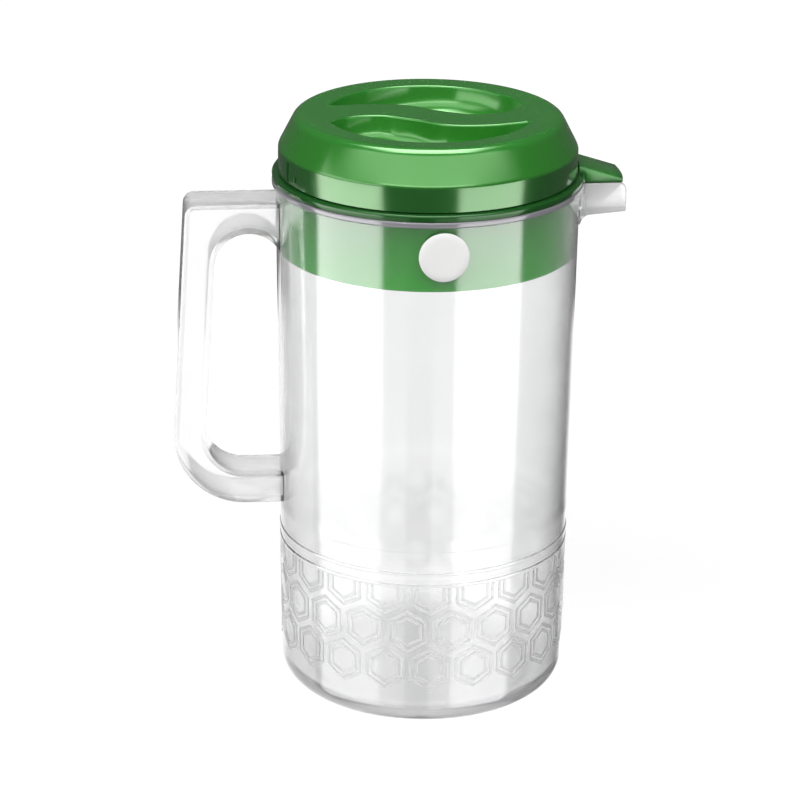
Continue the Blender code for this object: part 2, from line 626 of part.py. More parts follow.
def make_cap(parent):
    """Dome with the S-shaped grip, hollow inside, with a ported and slotted sleeve."""
    outer, inner = cap_shell_profile()
    cap = revolve("lid_cap", outer + inner)
    for side in (1, -1):
        shell = make_recess("recess_shell", CAP_WALL, side)
        lid = revolve("recess_limit", [(0, CAP_BOTTOM)] + [(r - SEAT_GAP, z - SEAT_GAP) for r, z in reversed(outer[1:-1])]
                      + [(0, cap_face_height(0) - SEAT_GAP)])
        boolean(shell, lid, "INTERSECT")
        boolean(cap, shell, "UNION")
    for side in (1, -1):
        boolean(cap, make_recess("recess", 0.0, side), "DIFFERENCE")
    reach = sleeve_radius() + SNAP_BEAD_RELIEF
    port_low = (-CHANNEL_HALF_WIDTH, -reach - CUT_OVERRUN, SPOUT_FLOOR_HEIGHT)
    port_high = (CHANNEL_HALF_WIDTH, 0, WINDOW_TOP)
    boolean(cap, box("port", port_low, port_high), "DIFFERENCE")
    pitch = 2 * CHANNEL_HALF_WIDTH / STRAINER_SLOT_COUNT
    for index in range(STRAINER_SLOT_COUNT):
        middle = (index - (STRAINER_SLOT_COUNT - 1) / 2) * pitch
        slot_low = (middle - STRAINER_SLOT_WIDTH / 2, 0, SPOUT_FLOOR_HEIGHT)
        slot_high = (middle + STRAINER_SLOT_WIDTH / 2, reach + CUT_OVERRUN, WINDOW_TOP)
        boolean(cap, box("strainer_slot", slot_low, slot_high), "DIFFERENCE")
    slot_inner = sleeve_radius() - SLEEVE_WALL / 2
    slot_outer = CAP_RADIUS - CAP_WALL / 2
    for direction in (1, -1):
        middle = math.pi + direction * (TURN_LIMIT + STOP_ANGLE + STOP_SLACK)
        web = ring_sector("stop_web", slot_inner, slot_outer, middle - STOP_ANGLE / 2, middle + STOP_ANGLE / 2,
                          CAP_BOTTOM + SEAT_GAP, CAP_BREAK)
        boolean(cap, web, "UNION")
    add_index_mark(cap)
    green = make_material("cap_green_plastic", GREEN_COLOUR, GREEN_ROUGHNESS)
    return finish(cap, green, parent)


def add_index_mark(cap):
    """Raised upright line on the cap's side, with a small pip beside its foot."""
    inner = CAP_BREAK_RADIUS - CAP_WALL / 2
    outer = CAP_RADIUS + INDEX_RELIEF
    half = INDEX_WIDTH / (2 * CAP_RADIUS)
    low = CAP_BOTTOM + INDEX_WIDTH
    upright = ring_sector("index_line", inner, outer, INDEX_ANGLE - half, INDEX_ANGLE + half, low,
                          CAP_BREAK - INDEX_WIDTH, 1)
    pip = ring_sector("index_pip", inner, outer, INDEX_ANGLE + INDEX_PIP_TURN - half,
                      INDEX_ANGLE + INDEX_PIP_TURN + half, low + INDEX_WIDTH, low + 3 * INDEX_WIDTH, 1)
    boolean(cap, upright, "UNION")
    boolean(cap, pip, "UNION")


def make_label(parent):
    """Round sticker that follows the wall, facing -Y."""
    middle = RIM_HEIGHT - LABEL_DROP
    bm = bmesh.new()
    layers = []
    for depth in (SEAT_GAP, SEAT_GAP + LABEL_THICKNESS):
        rings = []
        for ring_share in (0.0, 0.5, 1.0):
            ring = []
            for step in range(LABEL_STEPS if ring_share else 1):
                angle = math.tau * step / LABEL_STEPS
                across = LABEL_RADIUS * ring_share * math.cos(angle)
                up = LABEL_RADIUS * ring_share * math.sin(angle)
                radius = wall_radius(middle + up) + depth
                turn = across / radius
                ring.append(bm.verts.new((radius * math.sin(turn), -radius * math.cos(turn), middle + up)))
            rings.append(ring)
        layers.append(rings)
    for rings in layers:
        for step in range(LABEL_STEPS):
            after = (step + 1) % LABEL_STEPS
            bm.faces.new((rings[0][0], rings[1][step], rings[1][after]))
            bm.faces.new((rings[1][step], rings[2][step], rings[2][after], rings[1][after]))
    for step in range(LABEL_STEPS):
        after = (step + 1) % LABEL_STEPS
        bm.faces.new((layers[0][2][step], layers[0][2][after], layers[1][2][after], layers[1][2][step]))
    label = add_object("round_label", bm)
    white = make_material("white_label", LABEL_COLOUR, LABEL_ROUGHNESS)
    return finish(label, white, parent)


def main():
    for obj in list(bpy.data.objects):
        bpy.data.objects.remove(obj)
    jug_axis = add_empty("jug_axis", (AXIS_X, 0, 0))
    lid_axis = add_empty("lid_axis", (0, 0, 0), jug_axis)
    make_jug(jug_axis)
    make_label(jug_axis)
    make_ring(jug_axis)
    make_cap(lid_axis)


main()
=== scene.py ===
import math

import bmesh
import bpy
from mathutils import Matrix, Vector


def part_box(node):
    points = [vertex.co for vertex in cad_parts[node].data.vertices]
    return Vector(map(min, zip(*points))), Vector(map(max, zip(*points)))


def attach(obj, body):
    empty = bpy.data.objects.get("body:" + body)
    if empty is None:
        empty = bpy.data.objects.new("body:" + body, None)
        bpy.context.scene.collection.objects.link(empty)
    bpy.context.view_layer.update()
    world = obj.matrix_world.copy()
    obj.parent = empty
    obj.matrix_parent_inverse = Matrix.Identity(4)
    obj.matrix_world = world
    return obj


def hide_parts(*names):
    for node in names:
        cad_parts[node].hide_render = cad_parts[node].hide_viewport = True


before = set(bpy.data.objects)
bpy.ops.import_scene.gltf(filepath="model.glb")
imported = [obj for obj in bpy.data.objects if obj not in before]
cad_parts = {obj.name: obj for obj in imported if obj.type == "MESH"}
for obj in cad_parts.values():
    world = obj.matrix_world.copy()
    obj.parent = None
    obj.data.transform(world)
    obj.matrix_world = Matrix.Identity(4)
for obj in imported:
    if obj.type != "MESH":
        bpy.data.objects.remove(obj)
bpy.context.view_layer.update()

# %% [markdown]
# # A clear pitcher with a green turning lid
# The object is a household pitcher: a tapered jug moulded in clear plastic, with a hollow handle and a
# short spout, and a green lid whose domed cap turns by an S-shaped grip. The pieces here have the sizes
# of the solids loaded above, with finer curves, softer edges and real plastics. The model's box is read
# first. The finished pieces may not grow out of it.

jug_low, jug_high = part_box("jug_body")
axis_x = (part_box("lid_cap")[0].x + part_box("lid_cap")[1].x) / 2
axis_x = round(axis_x, 4)
print("jug from handle to spout in mm", round((jug_high.x - jug_low.x) * 1000, 1))

# %% [markdown]
# The jug's sizes, in metres. Heights are above the table and radii are from the jug's own axis.
# The wall leans out a little towards the rim, as every moulded cup does: without that taper it
# would not come off its mould. The overrun is how far a cutting form passes beyond what it cuts.

# %% Sizes of the jug
rim_height = 0.2218
rim_radius = 0.0640
rim_bead_height = 0.0024
rim_rounding = 0.0006
top_radius = 0.0625
base_radius = 0.0601
base_corner = 0.0104
wall = 0.0020
foot_height = 0.0012
floor_height = foot_height + 0.0028
foot_width = 0.0032
overrun = 0.004
taper = (top_radius - base_radius) / (rim_height - base_corner)


def wall_radius(height):
    return top_radius - taper * (rim_height - height)


print("taper in mm over the height", round(taper * rim_height * 1000, 2))

# %% [markdown]
# Nearly every form here comes from a closed outline: the jug, the ring and the cap are outlines turned
# about the axis (what Blender's Spin or Screw does), and the handle and the spout are outlines pushed
# sideways. Building them point by point keeps the rounding where it belongs. A bevel on the whole
# mesh would also soften the edges that have to stay crisp.

# %% Turning and extruding an outline
turn_steps = 180


def arc(centre_x, centre_y, radius, start, end, steps=10):
    angles = [math.radians(start + (end - start) * step / steps) for step in range(steps + 1)]
    return [(centre_x + radius * math.cos(a), centre_y + radius * math.sin(a)) for a in angles]


def piece_from(bm, name):
    bmesh.ops.recalc_face_normals(bm, faces=bm.faces)
    if bm.calc_volume(signed=True) < 0:
        bmesh.ops.reverse_faces(bm, faces=bm.faces)
    mesh = bpy.data.meshes.new(name)
    bm.to_mesh(mesh)
    bm.free()
    piece = bpy.data.objects.new(name, mesh)
    bpy.context.collection.objects.link(piece)
    return piece


def turn(name, outline, steps=turn_steps):
    bm = bmesh.new()
    rings = []
    for radius, height in outline:
        count = steps if radius > 0 else 1
        angles = [math.tau * step / steps for step in range(count)]
        rings.append([bm.verts.new((radius * math.cos(a), radius * math.sin(a), height)) for a in angles])
    for lower, upper in zip(rings, rings[1:] + rings[:1]):
        if len(lower) == 1 and len(upper) == 1:
            continue
        for step in range(steps):
            after = (step + 1) % steps
            corners = [lower[step % len(lower)], lower[after % len(lower)],
                       upper[after % len(upper)], upper[step % len(upper)]]
            bm.faces.new(list(dict.fromkeys(corners)))
    return piece_from(bm, name)


def extrude(name, low_points, high_points):
    bm = bmesh.new()
    low = [bm.verts.new(p) for p in low_points]
    high = [bm.verts.new(p) for p in high_points]
    bm.faces.new(low)
    bm.faces.new(list(reversed(high)))
    for index in range(len(low)):
        after = (index + 1) % len(low)
        bm.faces.new((low[index], low[after], high[after], high[index]))
    return piece_from(bm, name)


def push_sideways(name, outline, half_width):
    return extrude(name, [(x, -half_width, z) for x, z in outline], [(x, half_width, z) for x, z in outline])


def push_up(name, outline, bottom, top):
    return extrude(name, [(x, y, bottom) for x, y in outline], [(x, y, top) for x, y in outline])


def block(name, low, high):
    corners = [(low[0], low[1]), (high[0], low[1]), (high[0], high[1]), (low[0], high[1])]
    return push_up(name, corners, low[2], high[2])


# %% [markdown]
# Booleans join and cut these forms. The modifier is applied at once and its helper is deleted, so each
# piece ends as one plain closed mesh. A clear plastic needs that: light bends at every surface it
# meets, so a hidden face left inside the wall would show as a ghost.

# %% Joining, cutting and finishing
shortest_edge = 0.000003
sharp_angle = 32


def applied(piece):
    graph = bpy.context.evaluated_depsgraph_get()
    mesh = bpy.data.meshes.new_from_object(piece.evaluated_get(graph))
    piece.modifiers.clear()
    piece.data = mesh


def combine(piece, helper, operation):
    modifier = piece.modifiers.new("Combine", "BOOLEAN")
    modifier.operation = operation
    modifier.solver = "EXACT"
    modifier.object = helper
    applied(piece)
    bpy.data.objects.remove(helper)


def join(piece, helper):
    combine(piece, helper, "UNION")


def cut(piece, helper):
    combine(piece, helper, "DIFFERENCE")


def round_off(piece, width, angle, segments=4):
    modifier = piece.modifiers.new("Rounding", "BEVEL")
    modifier.width = width
    modifier.segments = segments
    modifier.limit_method = "ANGLE"
    modifier.angle_limit = math.radians(angle)
    applied(piece)


def finish_piece(piece, body, material, replaced=None):
    mesh = piece.data
    bm = bmesh.new()
    bm.from_mesh(mesh)
    bmesh.ops.dissolve_degenerate(bm, dist=shortest_edge, edges=bm.edges)
    bm.transform(Matrix.Translation((axis_x, 0, 0)))
    bm.to_mesh(mesh)
    bm.free()
    mesh.materials.clear()
    mesh.materials.append(material)
    mesh.shade_smooth()
    mesh.set_sharp_from_angle(angle=math.radians(sharp_angle))
    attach(piece, body)
    if replaced:
        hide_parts(replaced)
    print(piece.name, "faces", len(mesh.polygons))


# %% [markdown]
# ## Plastics
# Moulded plastic is never perfectly flat or even. A slow noise on the bump gives the long waves of a
# cooling wall, a second one varies the roughness, as handling does, and a third one shades the colour.
# A polished mould leaves no grain, so only the frosted relief and the label get a fine bump. The
# strengths are small: they should be felt in the reflections and not seen as a pattern.

# %% A plastic with an uneven moulded skin
wear_scale = 55
shade_scale = 30
wave_scale = 18
grain_scale = 900
wave_height = 0.001
grain_height = 0.0002
noise_range = (0.3, 0.7)
wear_range = (0.8, 1.3)


def give(node, values):
    for socket, value in values.items():
        node.inputs[socket].default_value = value


def moulded_plastic(name, colour, roughness, grain=0.0, waves=0.02, shade=0.04):
    material = bpy.data.materials.new(name)
    material.use_nodes = True
    nodes, links = material.node_tree.nodes, material.node_tree.links
    shader = nodes["Principled BSDF"]
    give(shader, {"Base Color": (*colour, 1)})
    place = nodes.new("ShaderNodeTexCoord")

    def noise(scale, detail):
        node = nodes.new("ShaderNodeTexNoise")
        give(node, {"Scale": scale, "Detail": detail})
        links.new(place.outputs["Object"], node.inputs["Vector"])
        return node

    wear = noise(wear_scale, 5)
    spread = nodes.new("ShaderNodeMapRange")
    give(spread, {"From Min": noise_range[0], "From Max": noise_range[1]})
    give(spread, {"To Min": roughness * wear_range[0], "To Max": roughness * wear_range[1]})
    links.new(wear.outputs["Fac"], spread.inputs["Value"])
    links.new(spread.outputs["Result"], shader.inputs["Roughness"])

    tint = nodes.new("ShaderNodeMix")
    tint.data_type = "RGBA"
    darker = [c * (1 - shade) for c in colour]
    lighter = [min(c * (1 + shade), 1) for c in colour]
    give(tint, {"A": (*darker, 1), "B": (*lighter, 1)})
    links.new(noise(shade_scale, 3).outputs["Fac"], tint.inputs["Factor"])
    links.new(tint.outputs["Result"], shader.inputs["Base Color"])

    skin = nodes.new("ShaderNodeBump")
    give(skin, {"Strength": waves, "Distance": wave_height})
    links.new(noise(wave_scale, 1).outputs["Fac"], skin.inputs["Height"])
    if grain:
        fine = nodes.new("ShaderNodeBump")
        give(fine, {"Strength": grain, "Distance": grain_height})
        links.new(noise(grain_scale, 2).outputs["Fac"], fine.inputs["Height"])
        links.new(skin.outputs["Normal"], fine.inputs["Normal"])
        skin = fine
    links.new(skin.outputs["Normal"], shader.inputs["Normal"])
    return material, shader


# %% [markdown]
# The jug is clear plastic with a trace of milk in it: what stands behind it is seen, but softly. A rough
# transmission below a sharp clear coat gives both the blur and the crisp reflections. Glass stops the
# rays that test whether a lamp is in the way, so a second, plainly see-through shader answers those rays
# only. Without it the green skirt inside the jug would stand in the dark.

# %% Clear plastics
def let_light_through(material, tint):
    nodes, links = material.node_tree.nodes, material.node_tree.links
    output = nodes["Material Output"]
    see_through = nodes.new("ShaderNodeBsdfTransparent")
    see_through.inputs["Color"].default_value = (tint, tint, tint, 1)
    ray = nodes.new("ShaderNodeLightPath")
    choose = nodes.new("ShaderNodeMixShader")
    links.new(ray.outputs["Is Shadow Ray"], choose.inputs["Fac"])
    links.new(nodes["Principled BSDF"].outputs["BSDF"], choose.inputs[1])
    links.new(see_through.outputs["BSDF"], choose.inputs[2])
    links.new(choose.outputs["Shader"], output.inputs["Surface"])


clear_plastic, clear_shader = moulded_plastic("clear_plastic", (0.902, 0.904, 0.907), 0.15,
                                              waves=0.015, shade=0.006)
give(clear_shader, {"IOR": 1.50, "Specular IOR Level": 0.25, "Coat Weight": 0.8, "Coat Roughness": 0.03})
let_light_through(clear_plastic, 0.88)

# %% [markdown]
# Where the moulding is thick, more milk is in the way: the handle and the spout look whiter than the jug,
# though the spout's tint is a little grey, which is painted shade. The corner of the base is milkier and
# greyer, and its grey is painted shade. The bead round the rim is milkier and gets a dark grey tint, a
# painted shadow line, so it reads as a grey line. The low wall, behind the relief, gets a lighter tint, which
# is painted light. Each of these places gets its own clearness and tint, which take over along one
# direction, from where the blend starts to where it ends.

# %% Milkier places, with painted light and shade
def coordinate(material, axis):
    nodes, links = material.node_tree.nodes, material.node_tree.links
    place = nodes.new("ShaderNodeTexCoord")
    split = nodes.new("ShaderNodeSeparateXYZ")
    links.new(place.outputs["Object"], split.inputs["Vector"])
    return split.outputs[axis]


def along(material, axis, start, end, most=1.0):
    """A value that rises from 0 at start to most at end, measured along one axis of the object."""
    spread = material.node_tree.nodes.new("ShaderNodeMapRange")
    give(spread, {"From Min": start, "From Max": end, "To Max": most})
    material.node_tree.links.new(coordinate(material, axis), spread.inputs["Value"])
    return spread.outputs["Result"]


def take_over(material, socket, where, kind, value):
    links = material.node_tree.links
    blend = material.node_tree.nodes.new("ShaderNodeMix")
    blend.data_type = kind
    if socket.is_linked:
        links.new(socket.links[0].from_socket, blend.inputs["A"])
    else:
        blend.inputs["A"].default_value = socket.default_value
    blend.inputs["B"].default_value = value
    links.new(where, blend.inputs["Factor"])
    links.new(blend.outputs["Result"], socket)


def milk_and_painted_light(axis, start, end, clearness, tint):
    where = along(clear_plastic, axis, start, end)
    take_over(clear_plastic, clear_shader.inputs["Transmission Weight"], where, "FLOAT", clearness)
    take_over(clear_plastic, clear_shader.inputs["Base Color"], where, "RGBA", (*tint, 1))


clear_shader.inputs["Transmission Weight"].default_value = 1.0
handle_start = axis_x - rim_radius + 0.0004
handle_blend = 0.0032
low_wall_start = 0.086
low_wall_blend = 0.012
corner_start = base_corner + 0.0015
corner_end = floor_height + 0.0005
bead_start = rim_height - rim_bead_height - 0.0002
bead_blend = 0.0004
spout_start = axis_x + rim_radius - 0.0006
spout_blend = 0.0012
milk_and_painted_light("X", handle_start + handle_blend, handle_start, 0.80, (0.97, 0.97, 0.97))
# The low wall: a lighter tint, which is painted light.
milk_and_painted_light("Z", low_wall_start, low_wall_start - low_wall_blend, 1.0, (0.955, 0.956, 0.958))
# The corner of the base: more milk, and a grey tint that is painted shade.
milk_and_painted_light("Z", corner_start, corner_end, 0.78, (0.76, 0.76, 0.765))
# The bead round the rim: more milk, and a dark grey tint that is a painted shadow line.
milk_and_painted_light("Z", bead_start, bead_start + bead_blend, 0.35, (0.36, 0.35, 0.385))
# The spout: more milk, and a grey tint that is painted shade.
milk_and_painted_light("X", spout_start, spout_start + spout_blend, 0.55, (0.80, 0.795, 0.80))
print("milkier from the wall out at x", round(handle_start, 4), round(spout_start, 4))

# %% [markdown]
# The honeycomb is the same plastic from a blasted part of the mould. Its skin is rougher and has a grain,
# so it scatters the light a little and reads as frosted lines.

# %% The frosted relief
frosted_plastic, frosted_shader = moulded_plastic("frosted_relief", (0.97, 0.97, 0.97), 0.32,
                                                  grain=0.10, waves=0.06, shade=0.005)
give(frosted_shader, {"Transmission Weight": 0.91, "IOR": 1.50, "Coat Weight": 0.6, "Coat Roughness": 0.06})
let_light_through(frosted_plastic, 0.95)

# %% [markdown]
# The green of the lid has a pearl in it. Its bands of light are greener than a plain gloss would show, so
# a little of the base is metallic, its gloss is tinted green, and a thin clear coat lies over it.

# %% Pearly greens
def pearly_green(name, colour):
    material, shader = moulded_plastic(name, colour, 0.17)
    give(shader, {"Metallic": 0.10, "Specular IOR Level": 0.9, "Specular Tint": (0.64, 1.0, 0.56, 1)})
    give(shader, {"Coat Weight": 0.40, "Coat Roughness": 0.05})
    return material, shader


def maths(tree, operation, first, second):
    node = tree.nodes.new("ShaderNodeMath")
    node.operation = operation
    for value, socket in ((first, node.inputs[0]), (second, node.inputs[1])):
        if isinstance(value, float):
            socket.default_value = value
        else:
            tree.links.new(value, socket)
    return node.outputs[0]


def paint_light_and_shade_by_height(material, shader, steps, lift=0.0):
    """Painted light and shade: other colours at other heights, given from low to high; lift is added to the
    height that is read.
    """
    nodes, links = material.node_tree.nodes, material.node_tree.links
    spread = nodes.new("ShaderNodeMapRange")
    give(spread, {"From Min": steps[0][0], "From Max": steps[-1][0]})
    links.new(maths(material.node_tree, "ADD", coordinate(material, "Z"), lift), spread.inputs["Value"])
    ramp = nodes.new("ShaderNodeValToRGB")
    links.new(spread.outputs["Result"], ramp.inputs["Fac"])
    marks = ramp.color_ramp.elements
    for height, colour in steps[1:-1]:
        marks.new((height - steps[0][0]) / (steps[-1][0] - steps[0][0])).color = (*colour, 1)
    marks[0].color = (*steps[0][1], 1)
    marks[-1].color = (*steps[-1][1], 1)
    mottle = nodes.new("ShaderNodeMix")
    mottle.data_type = "RGBA"
    mottle.blend_type = "MULTIPLY"
    mottle.inputs["Factor"].default_value = 1.0
    links.new(ramp.outputs["Color"], mottle.inputs["A"])
    links.new(shader.inputs["Base Color"].links[0].from_socket, mottle.inputs["B"])
    links.new(mottle.outputs["Result"], shader.inputs["Base Color"])


cap_green, cap_shader = pearly_green("cap_green", (0.96, 0.96, 0.96))
ring_green, ring_shader = pearly_green("ring_green", (0.96, 0.96, 0.96))

# %% [markdown]
# Light reaches the lid through the clear jug as well as from above. Its light and shade are painted into
# the green by height: the thin cone, the top and the skirt get lighter greens, painted light, and the thick
# upright edge between them a darker one, painted shade. The skirt is painted lighter at the bottom than at
# the top, and the spout's cover is read as standing higher, so more of it gets the lighter green. The
# colour follows the height, with short blends at the crease below the cone and at the rim. The lid's own
# heights are set here, because the colours need them. The ring has no coat below the rim, where the clear
# wall does the shining.

# %% Greens with painted light and shade by height
seat_gap = 0.0003
flange_height = 0.0026
edge_height = 0.0106
cone_height = 0.0137
crease = rim_height + seat_gap + flange_height + edge_height
cap_top = crease + cone_height
crease_blend = 0.0006
# Painted shade on the upright edge and the flange; painted light on the cone, the top and the spout's cover.
edge_green_painted_shade = (0.014, 0.095, 0.016)
cone_green_painted_light = (0.028, 0.215, 0.022)
top_green_painted_light = (0.030, 0.235, 0.028)
cover_green_painted_light = (0.034, 0.215, 0.032)
# The spout's cover is read this much higher, so more of it gets the painted light.
cover_painted_light_lift = 0.0033
# The skirt: painted light low down and painted shade near the rim.
skirt_low_green_painted_light = (0.005, 0.300, 0.003)
skirt_high_green_painted_shade = (0.003, 0.200, 0.002)
ring_shader.inputs["Specular IOR Level"].default_value = 0.12
coat_on_flange = along(ring_green, "Z", rim_height - 0.0006, rim_height + 0.0002, 0.45)
ring_green.node_tree.links.new(coat_on_flange, ring_shader.inputs["Coat Weight"])
paint_light_and_shade_by_height(cap_green, cap_shader, [
    (crease - crease_blend, edge_green_painted_shade), (crease + crease_blend, cone_green_painted_light),
    (cap_top - 0.0030, cone_green_painted_light), (cap_top - 0.0012, top_green_painted_light)])
paint_light_and_shade_by_height(ring_green, ring_shader, [
    (rim_height - 0.0300, skirt_low_green_painted_light), (rim_height - 0.0060, skirt_high_green_painted_shade),
    (rim_height - 0.0020, skirt_high_green_painted_shade), (rim_height, edge_green_painted_shade),
    (rim_height + 0.0030, edge_green_painted_shade), (rim_height + 0.0050, cover_green_painted_light)],
    along(ring_green, "X", axis_x + rim_radius, axis_x + rim_radius + 0.0006, cover_painted_light_lift))

label_white, _ = moulded_plastic("label_white", (0.91, 0.905, 0.90), 0.45, grain=0.12)
print("plastics", [m.name for m in bpy.data.materials if m.use_nodes])

# %% [markdown]
# ## The jug
# The outside is one outline, from the middle of the base to the middle of the mouth. The jug stands on a
# narrow foot ring, so the floor is a little higher than the table. Low on the wall are a ledge and two
# thin bands that frame the honeycomb. The ledge has a steep underside and fades upwards into the wall.

# %% Outline of the jug
decor_top = 0.0798
band_relief = 0.00035
band_width = 0.0019
ledge_relief = 0.0002
band_tops = [decor_top - 0.0140, decor_top - 0.0088]
band_steps = 6
band_fullness = 0.6
ledge_fade = 3 * band_width


def jug_outline():
    foot_outer = base_radius - base_corner
    foot_inner = foot_outer - foot_width
    outline = [(0, foot_height), (foot_inner - foot_height, foot_height), (foot_inner, 0)]
    outline += arc(foot_outer, base_corner, base_corner, -90, 0, 18)
    for top in band_tops:
        bottom = top - band_width
        for step in range(band_steps + 1):
            height = bottom + band_width * step / band_steps
            swell = band_relief * math.sin(math.pi * step / band_steps) ** band_fullness
            outline.append((wall_radius(height) + swell, height))
    outline.append((wall_radius(decor_top) + ledge_relief / 20, decor_top - ledge_relief))
    for step in range(band_steps + 1):
        height = decor_top + ledge_fade * step / band_steps
        outline.append((wall_radius(height) + ledge_relief * (1 - step / band_steps), height))
    bead = rim_height - rim_bead_height
    outline.append((wall_radius(bead), bead))
    outline += arc(rim_radius - rim_rounding, bead + rim_rounding, rim_rounding, -90, 0, 5)
    outline += arc(rim_radius - rim_rounding, rim_height - rim_rounding, rim_rounding, 0, 90, 5)
    return outline + [(0, rim_height)]


def cavity_outline():
    corner = base_corner - wall
    foot = wall_radius(floor_height + corner) - wall - corner
    mouth = wall_radius(rim_height) - wall
    outline = [(0, floor_height)] + arc(foot, floor_height + corner, corner, -90, 0, 12)
    return outline + [(mouth, rim_height), (mouth, rim_height + overrun), (0, rim_height + overrun)]


jug_shell = turn("jug_shell", jug_outline())
print("jug outline points", len(jug_outline()))

# %% [markdown]
# The handle is a hollow channel: its smooth face and its edges show from the front, and its back is open
# so that the mould can leave. One outline serves both the outside and the pocket, because moving every
# edge inwards by the same amount keeps the wall even.

# %% The handle
handle_reach = 0.1057
handle_top = 0.2142
handle_bottom = 0.0836
handle_depth = 0.0210
handle_band = 0.0131
handle_lean = math.radians(3.3)
handle_wall = 0.0022
handle_rounding = 0.0012
top_corner = 0.0045
low_corner = 0.0300
arch_radius = 0.0141
arch_top = 0.2018


def handle_outline(inset, root_x):
    lean = math.tan(handle_lean)
    degrees = math.degrees(handle_lean)
    low_radius = low_corner - inset
    low_z = handle_bottom + low_corner
    low_x = -handle_reach + low_corner
    upper_radius = max(top_corner - inset, inset / 2)
    upper_z = handle_top - inset
    upper_x = low_x - low_radius + (upper_z - upper_radius - low_z) * lean
    outer = [(root_x, upper_z)]
    outer += arc(upper_x + upper_radius, upper_z - upper_radius, upper_radius, 90, 180 - degrees, 8)
    outer += arc(low_x, low_z, low_radius, 180 - degrees, 270, 24)
    outer.append((root_x, handle_bottom + inset))
    inner_radius = low_corner - handle_band + inset
    arch = arch_radius + inset
    arch_z = arch_top - arch_radius
    arch_x = low_x - inner_radius + (arch_z - low_z) * lean + arch
    inner = [(root_x, handle_bottom + handle_band - inset)]
    inner += arc(low_x, low_z, inner_radius, 270, 180 - degrees, 18)
    side = max(min((root_x - arch_x) / arch, 1.0), -1.0)
    inner += arc(arch_x, arch_z, arch, 180 - degrees, math.degrees(math.acos(side)), 24)
    return outer + inner


handle = push_sideways("handle", handle_outline(0.0, -(base_radius - 2 * wall)), handle_depth / 2)
round_off(handle, handle_rounding, 60)
pocket = push_sideways("pocket", handle_outline(handle_wall, -(base_radius - 3 * wall)), handle_depth / 2)
pocket.data.transform(Matrix.Translation((0, handle_wall, 0)))
cut(handle, pocket)
join(jug_shell, handle)
print("handle opening height in mm", round((arch_top - handle_bottom - handle_band) * 1000, 1))

# %% [markdown]
# The spout is a small open box on the other side, level with the rim. A fillet under its root carries
# the load into the wall, as on the real moulding. The cavity and the channel are cut after everything
# outside is joined, so no inner face is left in the mouth.

# %% The spout and the hollows
spout_reach = 0.0810
spout_top = 0.2203
spout_width = 0.0200
spout_tip_depth = 0.0121
spout_root_depth = 0.0134
spout_wall = 0.0018
spout_nose = 0.0030
spout_fillet = 0.0042
spout_rounding = 0.0005
spout_floor = spout_top - spout_tip_depth + spout_wall
channel_half = spout_width / 2 - spout_wall

root_floor = spout_top - spout_root_depth
root_x = wall_radius(root_floor) + spout_fillet
inside_x = base_radius - 2 * wall
side_view = [(inside_x, spout_top)]
side_view += arc(spout_reach - spout_nose, spout_top - spout_nose, spout_nose, 90, 0, 8)
side_view.append((spout_reach, spout_top - spout_tip_depth))
side_view += arc(root_x, root_floor - spout_fillet, spout_fillet, 90, 180, 10)
side_view.append((inside_x, root_floor - spout_fillet))
spout = push_sideways("spout", side_view, spout_width / 2)
round_off(spout, spout_rounding, 60, 3)
join(jug_shell, spout)
cut(jug_shell, turn("cavity", cavity_outline()))
cut(jug_shell, block("channel", (base_radius - 3 * wall, -channel_half, spout_floor),
                     (spout_reach + overrun, channel_half, rim_height + overrun)))
finish_piece(jug_shell, "jug", clear_plastic, "jug_body")

# %% [markdown]
# ## The honeycomb
# Round the foot of the jug runs a relief of hexagons, one inside the other, twenty to a turn. It is a
# traditional pattern, and the mould carries it as shallow frosted lines. Each line is a low ridge with
# sloping sides, bent round the wall, so it catches light from every side. A texture could not do
# that at the edge of the jug, where the relief shows in profile. A ridge sinks a hair into the wall, so
# that no gap shows below it, and its ends run on a little, so that the corners close.

# %% Ridges along a path on the wall
ridge_width = 0.0014
ridge_height = 0.00024
ridge_sink = 0.00003
ridge_flat_share = 0.72
ridge_end_share = 0.28
ridge_step = 0.0012
honeycomb_low = 0.0125
honeycomb_margin = 0.0006
honeycomb_high = band_tops[0] - band_width - honeycomb_margin


def on_wall(around, height, lift):
    angle = around / base_radius
    reach = wall_radius(height)
    if height < base_corner:
        reach = base_radius - base_corner + math.sqrt(base_corner ** 2 - (base_corner - height) ** 2)
    return Vector(((reach + lift) * math.sin(angle), -(reach + lift) * math.cos(angle), height))


def clip_to_zone(start, end):
    low, high = (start, end) if start[1] <= end[1] else (end, start)
    if high[1] <= honeycomb_low or low[1] >= honeycomb_high:
        return None
    if low[1] < honeycomb_low:
        share = (honeycomb_low - low[1]) / (high[1] - low[1])
        low = (low[0] + (high[0] - low[0]) * share, honeycomb_low)
    if high[1] > honeycomb_high:
        share = (honeycomb_high - low[1]) / (high[1] - low[1])
        high = (low[0] + (high[0] - low[0]) * share, honeycomb_high)
    return low, high


